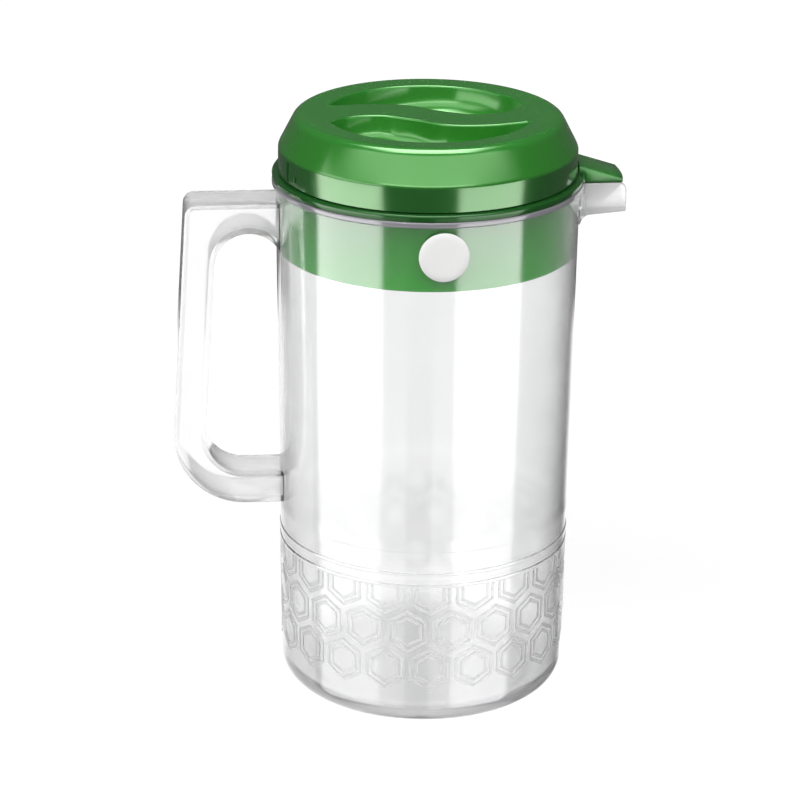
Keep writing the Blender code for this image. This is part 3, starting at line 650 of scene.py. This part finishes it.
def add_ridge(bm, start, end):
    clipped = clip_to_zone(start, end)
    if clipped is None:
        return
    start, end = Vector(clipped[0]), Vector(clipped[1])
    length = (end - start).length
    if length < ridge_width:
        return
    direction = (end - start) / length
    side = Vector((-direction.y, direction.x)) * ridge_width / 2
    start = start - direction * ridge_width * ridge_end_share
    end = end + direction * ridge_width * ridge_end_share
    steps = max(2, int(length / ridge_step))
    section = [(-1, -ridge_sink), (-ridge_flat_share, ridge_height)]
    section += [(ridge_flat_share, ridge_height), (1, -ridge_sink)]
    rows = []
    for step in range(steps + 1):
        middle = start.lerp(end, step / steps)
        rows.append([bm.verts.new(on_wall(*(middle + side * across), lift)) for across, lift in section])
    for here, there in zip(rows, rows[1:]):
        for column in range(4):
            after = (column + 1) % 4
            bm.faces.new((here[column], here[after], there[after], there[column]))
    bm.faces.new(rows[0])
    bm.faces.new(list(reversed(rows[-1])))


# %% [markdown]
# The cells stand on their points. Three rows fit between the foot and the bands: the upper row is cut by
# the bands, and the lowest runs down to the rounded corner. Neighbouring cells keep a small gap, so each
# hexagon reads as its own tile.

# %% Nested hexagons round the jug
cells_round = 20
cell_pitch = math.tau * base_radius / cells_round
row_pitch = 0.0171
middle_row = 0.0440
middle_start = math.radians(6.0) * base_radius
cell_gap = 0.0019
outer_hexagon = cell_pitch / math.sqrt(3) - cell_gap
inner_share = 0.70


def hexagon(around, height, size):
    turns = [math.tau * corner / 6 for corner in range(6)]
    return [(around + size * math.sin(a), height + size * math.cos(a)) for a in turns]


honeycomb_mesh = bmesh.new()
for row in (-1, 0, 1):
    shift = middle_start + (cell_pitch / 2 if row else 0)
    for cell in range(cells_round):
        for size in (outer_hexagon, outer_hexagon * inner_share):
            corners = hexagon(shift + cell * cell_pitch, middle_row + row * row_pitch, size)
            for start, end in zip(corners, corners[1:] + corners[:1]):
                add_ridge(honeycomb_mesh, start, end)
honeycomb = piece_from(honeycomb_mesh, "honeycomb_relief")
finish_piece(honeycomb, "jug", frosted_plastic)
print("cells", 3 * cells_round, "pitch in mm", round(cell_pitch * 1000, 2))

# %% [markdown]
# ## The lid's ring
# The ring stays on the jug. Its flange lies on the rim, and its skirt reaches 30 mm down inside the jug,
# where it shows through the wall as a green band. A window in the skirt lets the drink out to the
# spout. A groove inside holds the turning cap.

# %% The ring
flange_bottom = rim_height + seat_gap
flange_top = flange_bottom + flange_height
flange_rounding = 0.0009
skirt_depth = 0.0300
skirt_bottom = flange_bottom - skirt_depth
skirt_chamfer = 0.0003
bore_chamfer = 0.0002
skirt_wall = 0.0018
skirt_clearance = 0.00035
sleeve_clearance = 0.0004
window_height = 0.0105
window_top = spout_floor + window_height
bead_drop = 0.0240
bead_height = 0.0018
bead_relief = 0.0005

skirt_top_radius = wall_radius(flange_bottom) - wall - skirt_clearance
skirt_low_radius = wall_radius(skirt_bottom) - wall - skirt_clearance
bore = skirt_low_radius - skirt_wall
sleeve_radius = bore - sleeve_clearance
groove = bore - sleeve_clearance + bead_relief + seat_gap
groove_top = flange_bottom - bead_drop + bead_height + seat_gap
groove_low = flange_bottom - bead_drop - seat_gap

ring_outline = [(skirt_low_radius - skirt_chamfer, skirt_bottom)]
ring_outline += [(skirt_low_radius, skirt_bottom + skirt_chamfer), (skirt_top_radius, flange_bottom)]
ring_outline.append((rim_radius - flange_rounding / 3, flange_bottom))
ring_outline += arc(rim_radius - flange_rounding, flange_top - flange_rounding, flange_rounding, 0, 90, 8)
ring_outline += [(bore, flange_top), (bore, groove_top + bead_relief)]
ring_outline += [(groove, groove_top), (groove, groove_low), (bore, groove_low - bead_relief)]
ring_outline += [(bore, skirt_bottom + bore_chamfer), (bore + bore_chamfer, skirt_bottom)]
lid_ring = turn("ring_shell", ring_outline)
print("skirt outside radius in mm", round(skirt_low_radius * 1000, 2))

# %% [markdown]
# A wedge on the ring covers the root of the spout. It is hollow below, its front is slightly bowed, and
# its back follows the turning cap with a thin dark gap between them.

# %% The spout's cover
cap_radius = 0.0615
cover_gap = 0.0006
cover_half = 0.0100
cover_reach = 0.0803
cover_root = 0.0072
cover_tip = 0.0015
cover_bulge = 0.0010
cover_wall = 0.0016
cover_rounding = 0.0004
cover_back = cap_radius + cover_gap
cover_bottom = flange_bottom - (rim_height - spout_top)
cover_rise = (cover_root - cover_tip) / (cover_reach - cover_back)
cover_start = cover_back - 2 * skirt_wall


def wedge(name, inset, low):
    root = cover_bottom + cover_root - inset + cover_rise * (cover_back - cover_start)
    tip = cover_bottom + cover_tip - inset + cover_rise * inset
    tip_x = cover_reach - inset
    outline = [(cover_start, low), (tip_x, low), (tip_x, max(tip, low + inset)), (cover_start, root)]
    return push_sideways(name, outline, cover_half - inset)


cover = wedge("cover", 0.0, cover_bottom)
nose_radius = (cover_half ** 2 + cover_bulge ** 2) / (2 * cover_bulge)
spread = math.degrees(math.asin(cover_half / nose_radius))
plan = [(cover_start - overrun, -cover_half - overrun), (cover_reach - cover_bulge, -cover_half - overrun)]
plan += arc(cover_reach - nose_radius, 0, nose_radius, -spread, spread, 24)
plan += [(cover_reach - cover_bulge, cover_half + overrun), (cover_start - overrun, cover_half + overrun)]
combine(cover, push_up("nose", plan, cover_bottom - overrun, flange_top + cover_root), "INTERSECT")
round_off(cover, cover_rounding, 40, 3)


def disc(name, radius, low, high):
    return turn(name, [(0, low), (radius, low), (radius, high), (0, high)])


high = flange_top + 2 * cover_root
hollow = wedge("hollow", cover_wall, cover_bottom - overrun)
cut(hollow, disc("back_wall", cover_back + cover_wall, cover_bottom - 2 * overrun, high))
cut(cover, disc("dome_room", cover_back, flange_top, high))
cut(cover, disc("rim_room", rim_radius + seat_gap, rim_height - overrun, flange_bottom))
cut(cover, hollow)
join(lid_ring, cover)
cut(lid_ring, block("window", (0, -channel_half, spout_floor), (rim_radius, channel_half, window_top)))
finish_piece(lid_ring, "ring", ring_green, "lid_ring")

# %% [markdown]
# ## The turning cap
# The cap is a dome with a flat top that dips slightly to the middle, a steep cone and a short upright
# edge. Below it hangs a sleeve with a pouring port on one side and a slotted strainer on the other:
# turning the cap puts one of them, or the closed wall, in front of the spout.

# %% Outline of the cap
cap_bottom = flange_top + seat_gap
cap_chamfer = 0.0003
crease_radius = 0.0614
crease_flat = 0.0006
crease_rounding = 0.0003
face_radius = 0.0513
face_rounding = 0.0050
face_dish = 0.0012
cap_wall = 0.0018
sleeve_wall = 0.0016
sleeve_lift = 0.0010
sleeve_bottom = skirt_bottom + sleeve_lift


def face_height(radius):
    return cap_top - face_dish * (1 - (radius / face_radius) ** 2)


fall = cap_top - face_rounding - crease
run = crease_radius - face_radius
cone_angle = math.degrees(math.acos(face_rounding / math.hypot(run, fall)) - math.atan2(fall, run))
cap_outer = [(face_radius * k / 8, face_height(face_radius * k / 8)) for k in range(8)]
face_edge = arc(face_radius, cap_top - face_rounding, face_rounding, 90, cone_angle, 14)
cap_outer += face_edge
slope = (face_edge[-1][1] - crease) / (crease_radius - face_edge[-1][0])
cap_outer.append((crease_radius - crease_flat, crease + crease_flat * slope))
cap_outer.append((crease_radius - crease_rounding * 2 / 3, crease + crease_rounding))
cap_outer.append((crease_radius, crease - crease_rounding * 4 / 3))
cap_outer += [(cap_radius, cap_bottom + cap_chamfer), (cap_radius - cap_chamfer, cap_bottom)]
drop = cap_wall * math.hypot(1, slope)
slot_outer = cap_radius - cap_wall


def under_cone(radius):
    return crease + (crease_radius - radius) * slope - drop


bead_top = flange_bottom - bead_drop + bead_height
bead_low = flange_bottom - bead_drop
bead_radius = sleeve_radius + bead_relief
sleeve_inside = sleeve_radius - sleeve_wall
cap_inner = [(slot_outer, cap_bottom), (slot_outer, under_cone(slot_outer))]
cap_inner.append((sleeve_radius, under_cone(sleeve_radius)))
cap_inner += [(sleeve_radius, bead_top + bead_relief / 2), (bead_radius, bead_top - bead_relief / 2)]
cap_inner += [(bead_radius, bead_low + bead_relief / 2), (sleeve_radius, bead_low - bead_relief / 2)]
cap_inner += [(sleeve_radius, sleeve_bottom), (sleeve_inside, sleeve_bottom)]
cap_inner.append((sleeve_inside, under_cone(sleeve_inside)))
cap_inner += arc(face_radius, cap_top - face_rounding, face_rounding - cap_wall, cone_angle, 90, 6)
cap_inner.append((0, face_height(0) - cap_wall))
cap = turn("cap_shell", cap_outer + cap_inner)
print("cone leans", round(90 - cone_angle, 1), "degrees, cap outline points", len(cap_outer) + len(cap_inner))

# %% [markdown]
# The grip is what makes this lid: two finger recesses share one circle, and the bar left between them is
# an S. One edge of the bar is drawn with a smooth curve through a few points. The other edge is the
# same curve turned half round. Each recess is a stack of outlines that draw in as they go down, which
# gives the soft bowl, with a small rounding where it meets the top.

# %% A smooth curve through points
def smooth_path(points, steps):
    padded = [points[0]] + list(points) + [points[-1]]
    spans = len(points) - 1
    path = []
    for step in range(steps + 1):
        span = min(int(spans * step / steps), spans - 1)
        t = spans * step / steps - span
        a, b, c, d = (Vector(padded[span + k]) for k in range(4))
        point = b * 2 + (c - a) * t + (a * 2 - b * 5 + c * 4 - d) * t ** 2 + (b * 3 - a - c * 3 + d) * t ** 3
        path.append(tuple(point / 2))
    return path


# %% The two finger recesses
grip_radius = 0.0423
grip_depth = 0.0125
grip_fillet = 0.0009
grip_steps = 72
bar_edge_shares = [
    (-0.925, 0.345), (-0.780, 0.375), (-0.620, 0.405), (-0.460, 0.411), (-0.280, 0.394), (-0.100, 0.335),
    (0.100, 0.176), (0.280, 0.070), (0.400, 0.013), (0.520, -0.005), (0.700, 0.026), (0.840, 0.097),
    (0.955, 0.250)]
bowl_depth_shares = [0.35, 0.52, 0.66, 0.78, 0.87, 0.93, 0.97, 1.0]
bowl_draw_shares = [0.04, 0.075, 0.12, 0.19, 0.28, 0.38, 0.48, 0.72]


def recess_levels(grow):
    """Depth, share drawn in and flare of each outline, from above the cap down to the bowl's floor."""
    if grow:
        levels = [(-overrun, 0.0, 0.0)]
    else:
        levels = [(-overrun, 0.0, grip_fillet)]
        for inward, down in arc(0, 0, grip_fillet, 90, 0, 6):
            levels.append((grip_fillet - down, 0.0, grip_fillet - inward))
    for deep, draw in zip(bowl_depth_shares, bowl_draw_shares):
        levels.append(((grip_depth + grow) * deep, draw, 0.0))
    return levels


def recess(name, grow, side):
    edge = smooth_path([(x * grip_radius, y * grip_radius) for x, y in bar_edge_shares], grip_steps)
    first = math.atan2(edge[0][1], edge[0][0])
    last = math.atan2(edge[-1][1], edge[-1][0])
    middle_x = (edge[0][0] + edge[-1][0]) / 2
    bm = bmesh.new()
    rings = []
    for depth, draw, flare in recess_levels(grow):
        lines = ([], [])
        for index, point in enumerate(edge):
            angle = first + (last - first) * index / grip_steps
            near = Vector(point)
            far = Vector((math.cos(angle), math.sin(angle))) * grip_radius
            middle = near.lerp(far, 0.5)
            push = (far - near).normalized() * (grow + flare)
            shorten = 1 - draw / 2 + grow / grip_radius
            for line, corner, offset in ((lines[0], near, -push), (lines[1], far, push)):
                place = middle + (corner - middle) * (1 - draw) + offset
                x = middle_x + (place.x - middle_x) * shorten
                height = face_height(math.hypot(x, place.y)) - depth
                line.append(bm.verts.new((side * x, side * place.y, height)))
        rings.append(lines)
    for upper_pair, lower_pair in zip(rings, rings[1:]):
        for upper, lower in zip(upper_pair, lower_pair):
            for index in range(grip_steps):
                bm.faces.new((upper[index], upper[index + 1], lower[index + 1], lower[index]))
        for index in (0, grip_steps):
            corners = [line[index] for line in (*upper_pair, *reversed(lower_pair))]
            bm.faces.new(corners)
    for near, far in (rings[0], rings[-1]):
        for index in range(grip_steps):
            bm.faces.new((near[index], near[index + 1], far[index + 1], far[index]))
    return piece_from(bm, name)


for side in (1, -1):
    shell = recess("recess_shell", cap_wall, side)
    limit = [(0, cap_bottom)] + [(r - seat_gap, z - seat_gap) for r, z in reversed(cap_outer[1:-1])]
    combine(shell, turn("limit", limit + [(0, face_height(0) - seat_gap)]), "INTERSECT")
    join(cap, shell)
for side in (1, -1):
    cut(cap, recess("recess", 0.0, side))
print("recess depth in mm", grip_depth * 1000)

# %% [markdown]
# The port and the strainer's five slots are cut through the sleeve. On the cap's upright edge stands a
# thin index rib, which shows how far the cap is turned, with a small pip beside it. The gate mark is the
# low round spot in the middle of the top, where the plastic flowed into the mould.

# %% Port, strainer, index rib and gate mark
slots = 5
slot_half = 0.0008
reach = bead_radius + overrun
cut(cap, block("port", (-channel_half, -reach, spout_floor), (channel_half, 0, window_top)))
for index in range(slots):
    middle = (index - (slots - 1) / 2) * 2 * channel_half / slots
    cut(cap, block("slot", (middle - slot_half, 0, spout_floor), (middle + slot_half, reach, window_top)))

rib_relief = 0.0005
rib_root = 0.0010
index_angle = 196.6
index_width = 0.0013
pip_angle = 203.4
pip_width = 0.0012
pip_height = 0.0024
gate_radius = 0.0011
gate_relief = 0.0002
gate_rounding = 0.0003


def rib(name, angle, width, bottom, top):
    half = math.degrees(width / (2 * cap_radius))
    outline = arc(0, 0, cap_radius + rib_relief, angle - half, angle + half, 4)
    outline += arc(0, 0, cap_radius - rib_root, angle + half, angle - half, 4)
    return push_up(name, outline, bottom, top)


join(cap, rib("index", index_angle, index_width, cap_bottom + index_width, crease - index_width))
pip_bottom = cap_bottom + 2 * index_width
join(cap, rib("pip", pip_angle, pip_width, pip_bottom, pip_bottom + pip_height))
gate_top = face_height(0) + gate_relief
gate_outline = [(0, face_height(0) - rib_root), (gate_radius, face_height(0) - rib_root)]
gate_outline += [(gate_radius, gate_top - gate_relief / 2), (gate_radius - gate_rounding, gate_top)]
gate_outline.append((0, gate_top))
join(cap, turn("gate", gate_outline, 32))
finish_piece(cap, "cap", cap_green, "lid_cap")

# %% [markdown]
# ## The label
# A plain white round sticker sits half way between the handle and the spout. It is bent round the wall
# and is as thin as card, with a softened edge that catches a fine line of light. Three levels make it:
# its back, a hair off the wall, the top of its side, and its face, which is a little smaller.

# %% The label
label_radius = 0.0101
label_middle = rim_height - 0.0146
label_steps = 96
label_lifts = (seat_gap, seat_gap + 0.00018, seat_gap + 0.00025)
label_shrinks = (0.0, 0.0, 0.00012)


def label_point(share, angle, lift, shrink):
    across = (label_radius - shrink) * share * math.cos(angle)
    height = label_middle + (label_radius - shrink) * share * math.sin(angle)
    radius = wall_radius(height) + lift
    return radius * math.sin(across / radius), -radius * math.cos(across / radius), height


bm = bmesh.new()
layers = []
for lift, shrink in zip(label_lifts, label_shrinks):
    rings = []
    for share in (0.0, 0.25, 0.5, 0.75, 1.0):
        angles = [math.tau * step / label_steps for step in range(label_steps if share else 1)]
        rings.append([bm.verts.new(label_point(share, a, lift, shrink)) for a in angles])
    layers.append(rings)
bmesh.ops.delete(bm, geom=[v for ring in layers[1][:-1] for v in ring], context="VERTS")
for rings in (layers[0], layers[2]):
    for inner, outer in zip(rings, rings[1:]):
        for step in range(label_steps):
            after = (step + 1) % label_steps
            corners = (inner[step % len(inner)], outer[step], outer[after], inner[after % len(inner)])
            bm.faces.new(list(dict.fromkeys(corners)))
edges = [layer[-1] for layer in layers]
for lower, upper in zip(edges, edges[1:]):
    for step in range(label_steps):
        after = (step + 1) % label_steps
        bm.faces.new((lower[step], lower[after], upper[after], upper[step]))
label = piece_from(bm, "label_disc")
finish_piece(label, "jug", label_white, "round_label")

# %% [markdown]
# ## Studio
# The floor is large and pale, and the camera sees nothing else behind the jug. It glows for the camera
# and for rays that come through the clear plastic, so the background is white while the floor still
# takes the jug's shadow. A ray that was mirrored on its way meets a weaker glow than one that went
# straight through, and a mirrored ray that comes directly doesn't meet the floor at all.

# %% The floor
floor_size = 24
floor_drop = 0.0002
glow_seen = 0.78
glow_through = 0.92

bpy.ops.mesh.primitive_plane_add(size=floor_size, location=(0, 0, -floor_drop))
studio_floor = bpy.context.object
studio_floor.name = "studio_floor"
paper = bpy.data.materials.new("studio_paper")
paper.use_nodes = True
paper_tree = paper.node_tree
paper_shader = paper_tree.nodes["Principled BSDF"]
give(paper_shader, {"Base Color": (0.26, 0.26, 0.26, 1), "Roughness": 0.9, "Specular IOR Level": 0.0})


def not_mirrored(tree, ray):
    """1 for a ray that hasn't been mirrored or scattered yet, else 0."""
    turns = maths(tree, "ADD", ray["Glossy Depth"], ray["Diffuse Depth"])
    return maths(tree, "LESS_THAN", turns, 0.5)


ray = paper_tree.nodes.new("ShaderNodeLightPath").outputs
seen = maths(paper_tree, "MAXIMUM", ray["Is Camera Ray"], ray["Is Glossy Ray"])
looked_through = maths(paper_tree, "MULTIPLY", ray["Is Transmission Ray"], not_mirrored(paper_tree, ray))
seen_glow = maths(paper_tree, "MULTIPLY", seen, glow_seen)
glow = maths(paper_tree, "MAXIMUM", seen_glow, maths(paper_tree, "MULTIPLY", looked_through, glow_through))
paper_shader.inputs["Emission Color"].default_value = (1, 1, 1, 1)
paper_tree.links.new(glow, paper_shader.inputs["Emission Strength"])
studio_floor.data.materials.append(paper)
studio_floor.visible_glossy = False
print("floor glow seen and seen through", glow_seen, glow_through)

# %% [markdown]
# Shiny plastic is drawn by what it mirrors. Bright cards stand round the jug like the panels of a photo
# studio. Tall ones left and right of the camera make the long white bands on the wall and the lid, and
# weaker ones carry these bands on below and above. Two low fills lighten the middle of the wall. The
# front and edge cards light the cone and the rounding of the cap. The card below and the two screens
# behind keep the outlines of the clear plastic from going black. Each is a patch of a sphere, given by
# the directions that it fills as seen from the jug, and fades towards its edges.

# %% Bright cards
view_azimuth = 6.5
cards_centre = Vector((axis_x, 0, 0.15))
card_distance = 4.0
panel_steps = 24


def panel_from(name, place_at, strength, fade):
    """A grid of glowing faces; place_at(u, v) gives each point, and fade is the soft share at the edges."""
    bm = bmesh.new()
    glow_layer = bm.verts.layers.float.new("glow")
    grid = []
    for row in range(panel_steps + 1):
        line = []
        for column in range(panel_steps + 1):
            u, v = column / panel_steps, row / panel_steps
            vert = bm.verts.new(place_at(u, v))
            share = min(min(u, 1 - u) / fade[0], min(v, 1 - v) / fade[1], 1)
            vert[glow_layer] = share * share * (3 - 2 * share)
            line.append(vert)
        grid.append(line)
    for lower, upper in zip(grid, grid[1:]):
        for column in range(panel_steps):
            bm.faces.new((lower[column], lower[column + 1], upper[column + 1], upper[column]))
    mesh = bpy.data.meshes.new(name)
    bm.to_mesh(mesh)
    bm.free()
    panel = bpy.data.objects.new(name, mesh)
    bpy.context.collection.objects.link(panel)
    light = bpy.data.materials.new(name)
    light.use_nodes = True
    nodes, links = light.node_tree.nodes, light.node_tree.links
    nodes.clear()
    output = nodes.new("ShaderNodeOutputMaterial")
    emission = nodes.new("ShaderNodeEmission")
    clear = nodes.new("ShaderNodeBsdfTransparent")
    blend = nodes.new("ShaderNodeMixShader")
    glow = nodes.new("ShaderNodeAttribute")
    glow.attribute_name = "glow"
    emission.inputs["Strength"].default_value = strength
    links.new(glow.outputs["Fac"], blend.inputs["Fac"])
    links.new(clear.outputs[0], blend.inputs[1])
    links.new(emission.outputs[0], blend.inputs[2])
    links.new(blend.outputs[0], output.inputs["Surface"])
    light.cycles.emission_sampling = "NONE"
    mesh.materials.append(light)
    panel.visible_camera = False
    panel.visible_diffuse = False
    panel.visible_shadow = False
    panel.visible_transmission = False


def way_to(azimuth, elevation):
    """The direction at so many degrees to the right of the camera's side and above the table."""
    turn_to = math.radians(azimuth - view_azimuth)
    rise = math.radians(elevation)
    return Vector((math.sin(turn_to) * math.cos(rise), -math.cos(turn_to) * math.cos(rise), math.sin(rise)))


def card(name, azimuths, elevations, strength, soft, distance=card_distance):
    width = azimuths[1] - azimuths[0]
    height = elevations[1] - elevations[0]

    def place_at(u, v):
        return cards_centre + way_to(azimuths[0] + width * u, elevations[0] + height * v) * distance

    panel_from(name, place_at, strength, (soft[0] / width, soft[1] / height))
    print(name, "strength", strength)


card("left_card", (-90, -31), (-24, 9), 6.6, (4, 7), 1.1)
card("left_upper_card", (-90, -31), (9, 28), 3.0, (4, 5), 1.1)
card("right_card", (21, 76), (-24, 11.5), 5.8, (4, 7), 1.1)
card("left_low_card", (-90, -31), (-50, -10), 3.0, (4, 8), 1.2)
card("right_low_card", (21, 76), (-50, -10), 3.0, (4, 8), 1.2)
card("left_fill", (-34, -13), (-50, -18), 1.2, (1, 5))
card("right_fill", (6, 22), (-50, -18), 1.2, (1, 5))
card("front_card", (-82, 82), (22, 58), 2.5, (20, 14))
card("edge_card", (-44, 44), (25, 33), 8.0, (14, 2))
card("below_card", (-180, 180), (-89, -52), 0.8, (1, 4))
card("back_screen", (140, 230), (-74, -16), 1.1, (20, 1), 0.6)
card("back_left_screen", (205, 268), (-74, -16), 0.9, (3, 1), 0.7)

# %% [markdown]
# One panel hangs flat overhead. The rounding of the cap mirrors it as a bright line, and so do the edges
# of the finger recesses.

# %% The overhead panel
overhead_width = 1.3
overhead_front = -0.42
overhead_depth = 0.92
overhead_height = 1.35


def overhead_at(u, v):
    return Vector((axis_x + (u - 0.5) * overhead_width, overhead_front + overhead_depth * v, overhead_height))


panel_from("overhead_card", overhead_at, 10.0, (0.35, 0.12))
print("overhead panel at", overhead_height, "m")

# %% [markdown]
# The light itself is two broad, soft suns high up in front, of which the left one is stronger, and a dim
# room around, at a level where a colour renders about as it is written. The suns hide from reflections,
# because the cards stand for them. The view straight through the clear plastic sees a white room, as the
# photograph's background is white. A ray that was mirrored or scattered before sees the dim room, or a
# white veil would lie on the green.

# %% Light
sun_spread = 50
sun_elevation = 45
room_dim = 0.12
room_white = 1.0


def soft_sun(name, energy, azimuth):
    data = bpy.data.lights.new(name, "SUN")
    data.energy = energy
    data.angle = math.radians(sun_spread)
    lamp = bpy.data.objects.new(name, data)
    lamp.rotation_euler = way_to(azimuth, sun_elevation).to_track_quat("Z", "Y").to_euler()
    lamp.visible_glossy = False
    bpy.context.collection.objects.link(lamp)


soft_sun("left_sun", 2.35, -38)
soft_sun("right_sun", 1.60, 40)

room = bpy.data.worlds.new("room")
bpy.context.scene.world = room
room.use_nodes = True
room_tree = room.node_tree
background = room_tree.nodes["Background"]
background.inputs["Color"].default_value = (1, 1, 1, 1)
ray = room_tree.nodes.new("ShaderNodeLightPath").outputs
straight = not_mirrored(room_tree, ray)
seen_white = maths(room_tree, "MAXIMUM", ray["Is Camera Ray"], ray["Is Transmission Ray"])
room_level = room_tree.nodes.new("ShaderNodeMapRange")
give(room_level, {"To Min": room_dim, "To Max": room_white})
room_tree.links.new(maths(room_tree, "MULTIPLY", seen_white, straight), room_level.inputs["Value"])
room_tree.links.new(room_level.outputs["Result"], background.inputs["Strength"])
print("room levels", room_dim, room_white)

# %% [markdown]
# ## Camera
# The photograph looks down at about 21 degrees with a long lens, from a little to the handle's side of
# square on. A long lens from far away keeps the jug's sides nearly parallel.

# %% The camera
camera_place = Vector((-0.1292, -1.2581, 0.6040))
camera_target = Vector((0.0021, 0.0012, 0.1234))
camera_roll = 0.64

camera_data = bpy.data.cameras.new("camera")
camera_data.lens = 144.7
camera_data.sensor_width = 36
camera_data.clip_start = 0.05
camera_data.clip_end = 60
camera = bpy.data.objects.new("camera", camera_data)
camera.location = camera_place
aim = (camera_target - camera_place).to_track_quat("-Z", "Y")
roll = Matrix.Rotation(math.radians(camera_roll), 4, "Z")
camera.rotation_euler = (aim.to_matrix().to_4x4() @ roll).to_euler()
bpy.context.collection.objects.link(camera)
bpy.context.scene.camera = camera
bpy.context.scene.view_settings.view_transform = "Standard"
print("camera distance in m", round((camera_target - camera_place).length, 3))
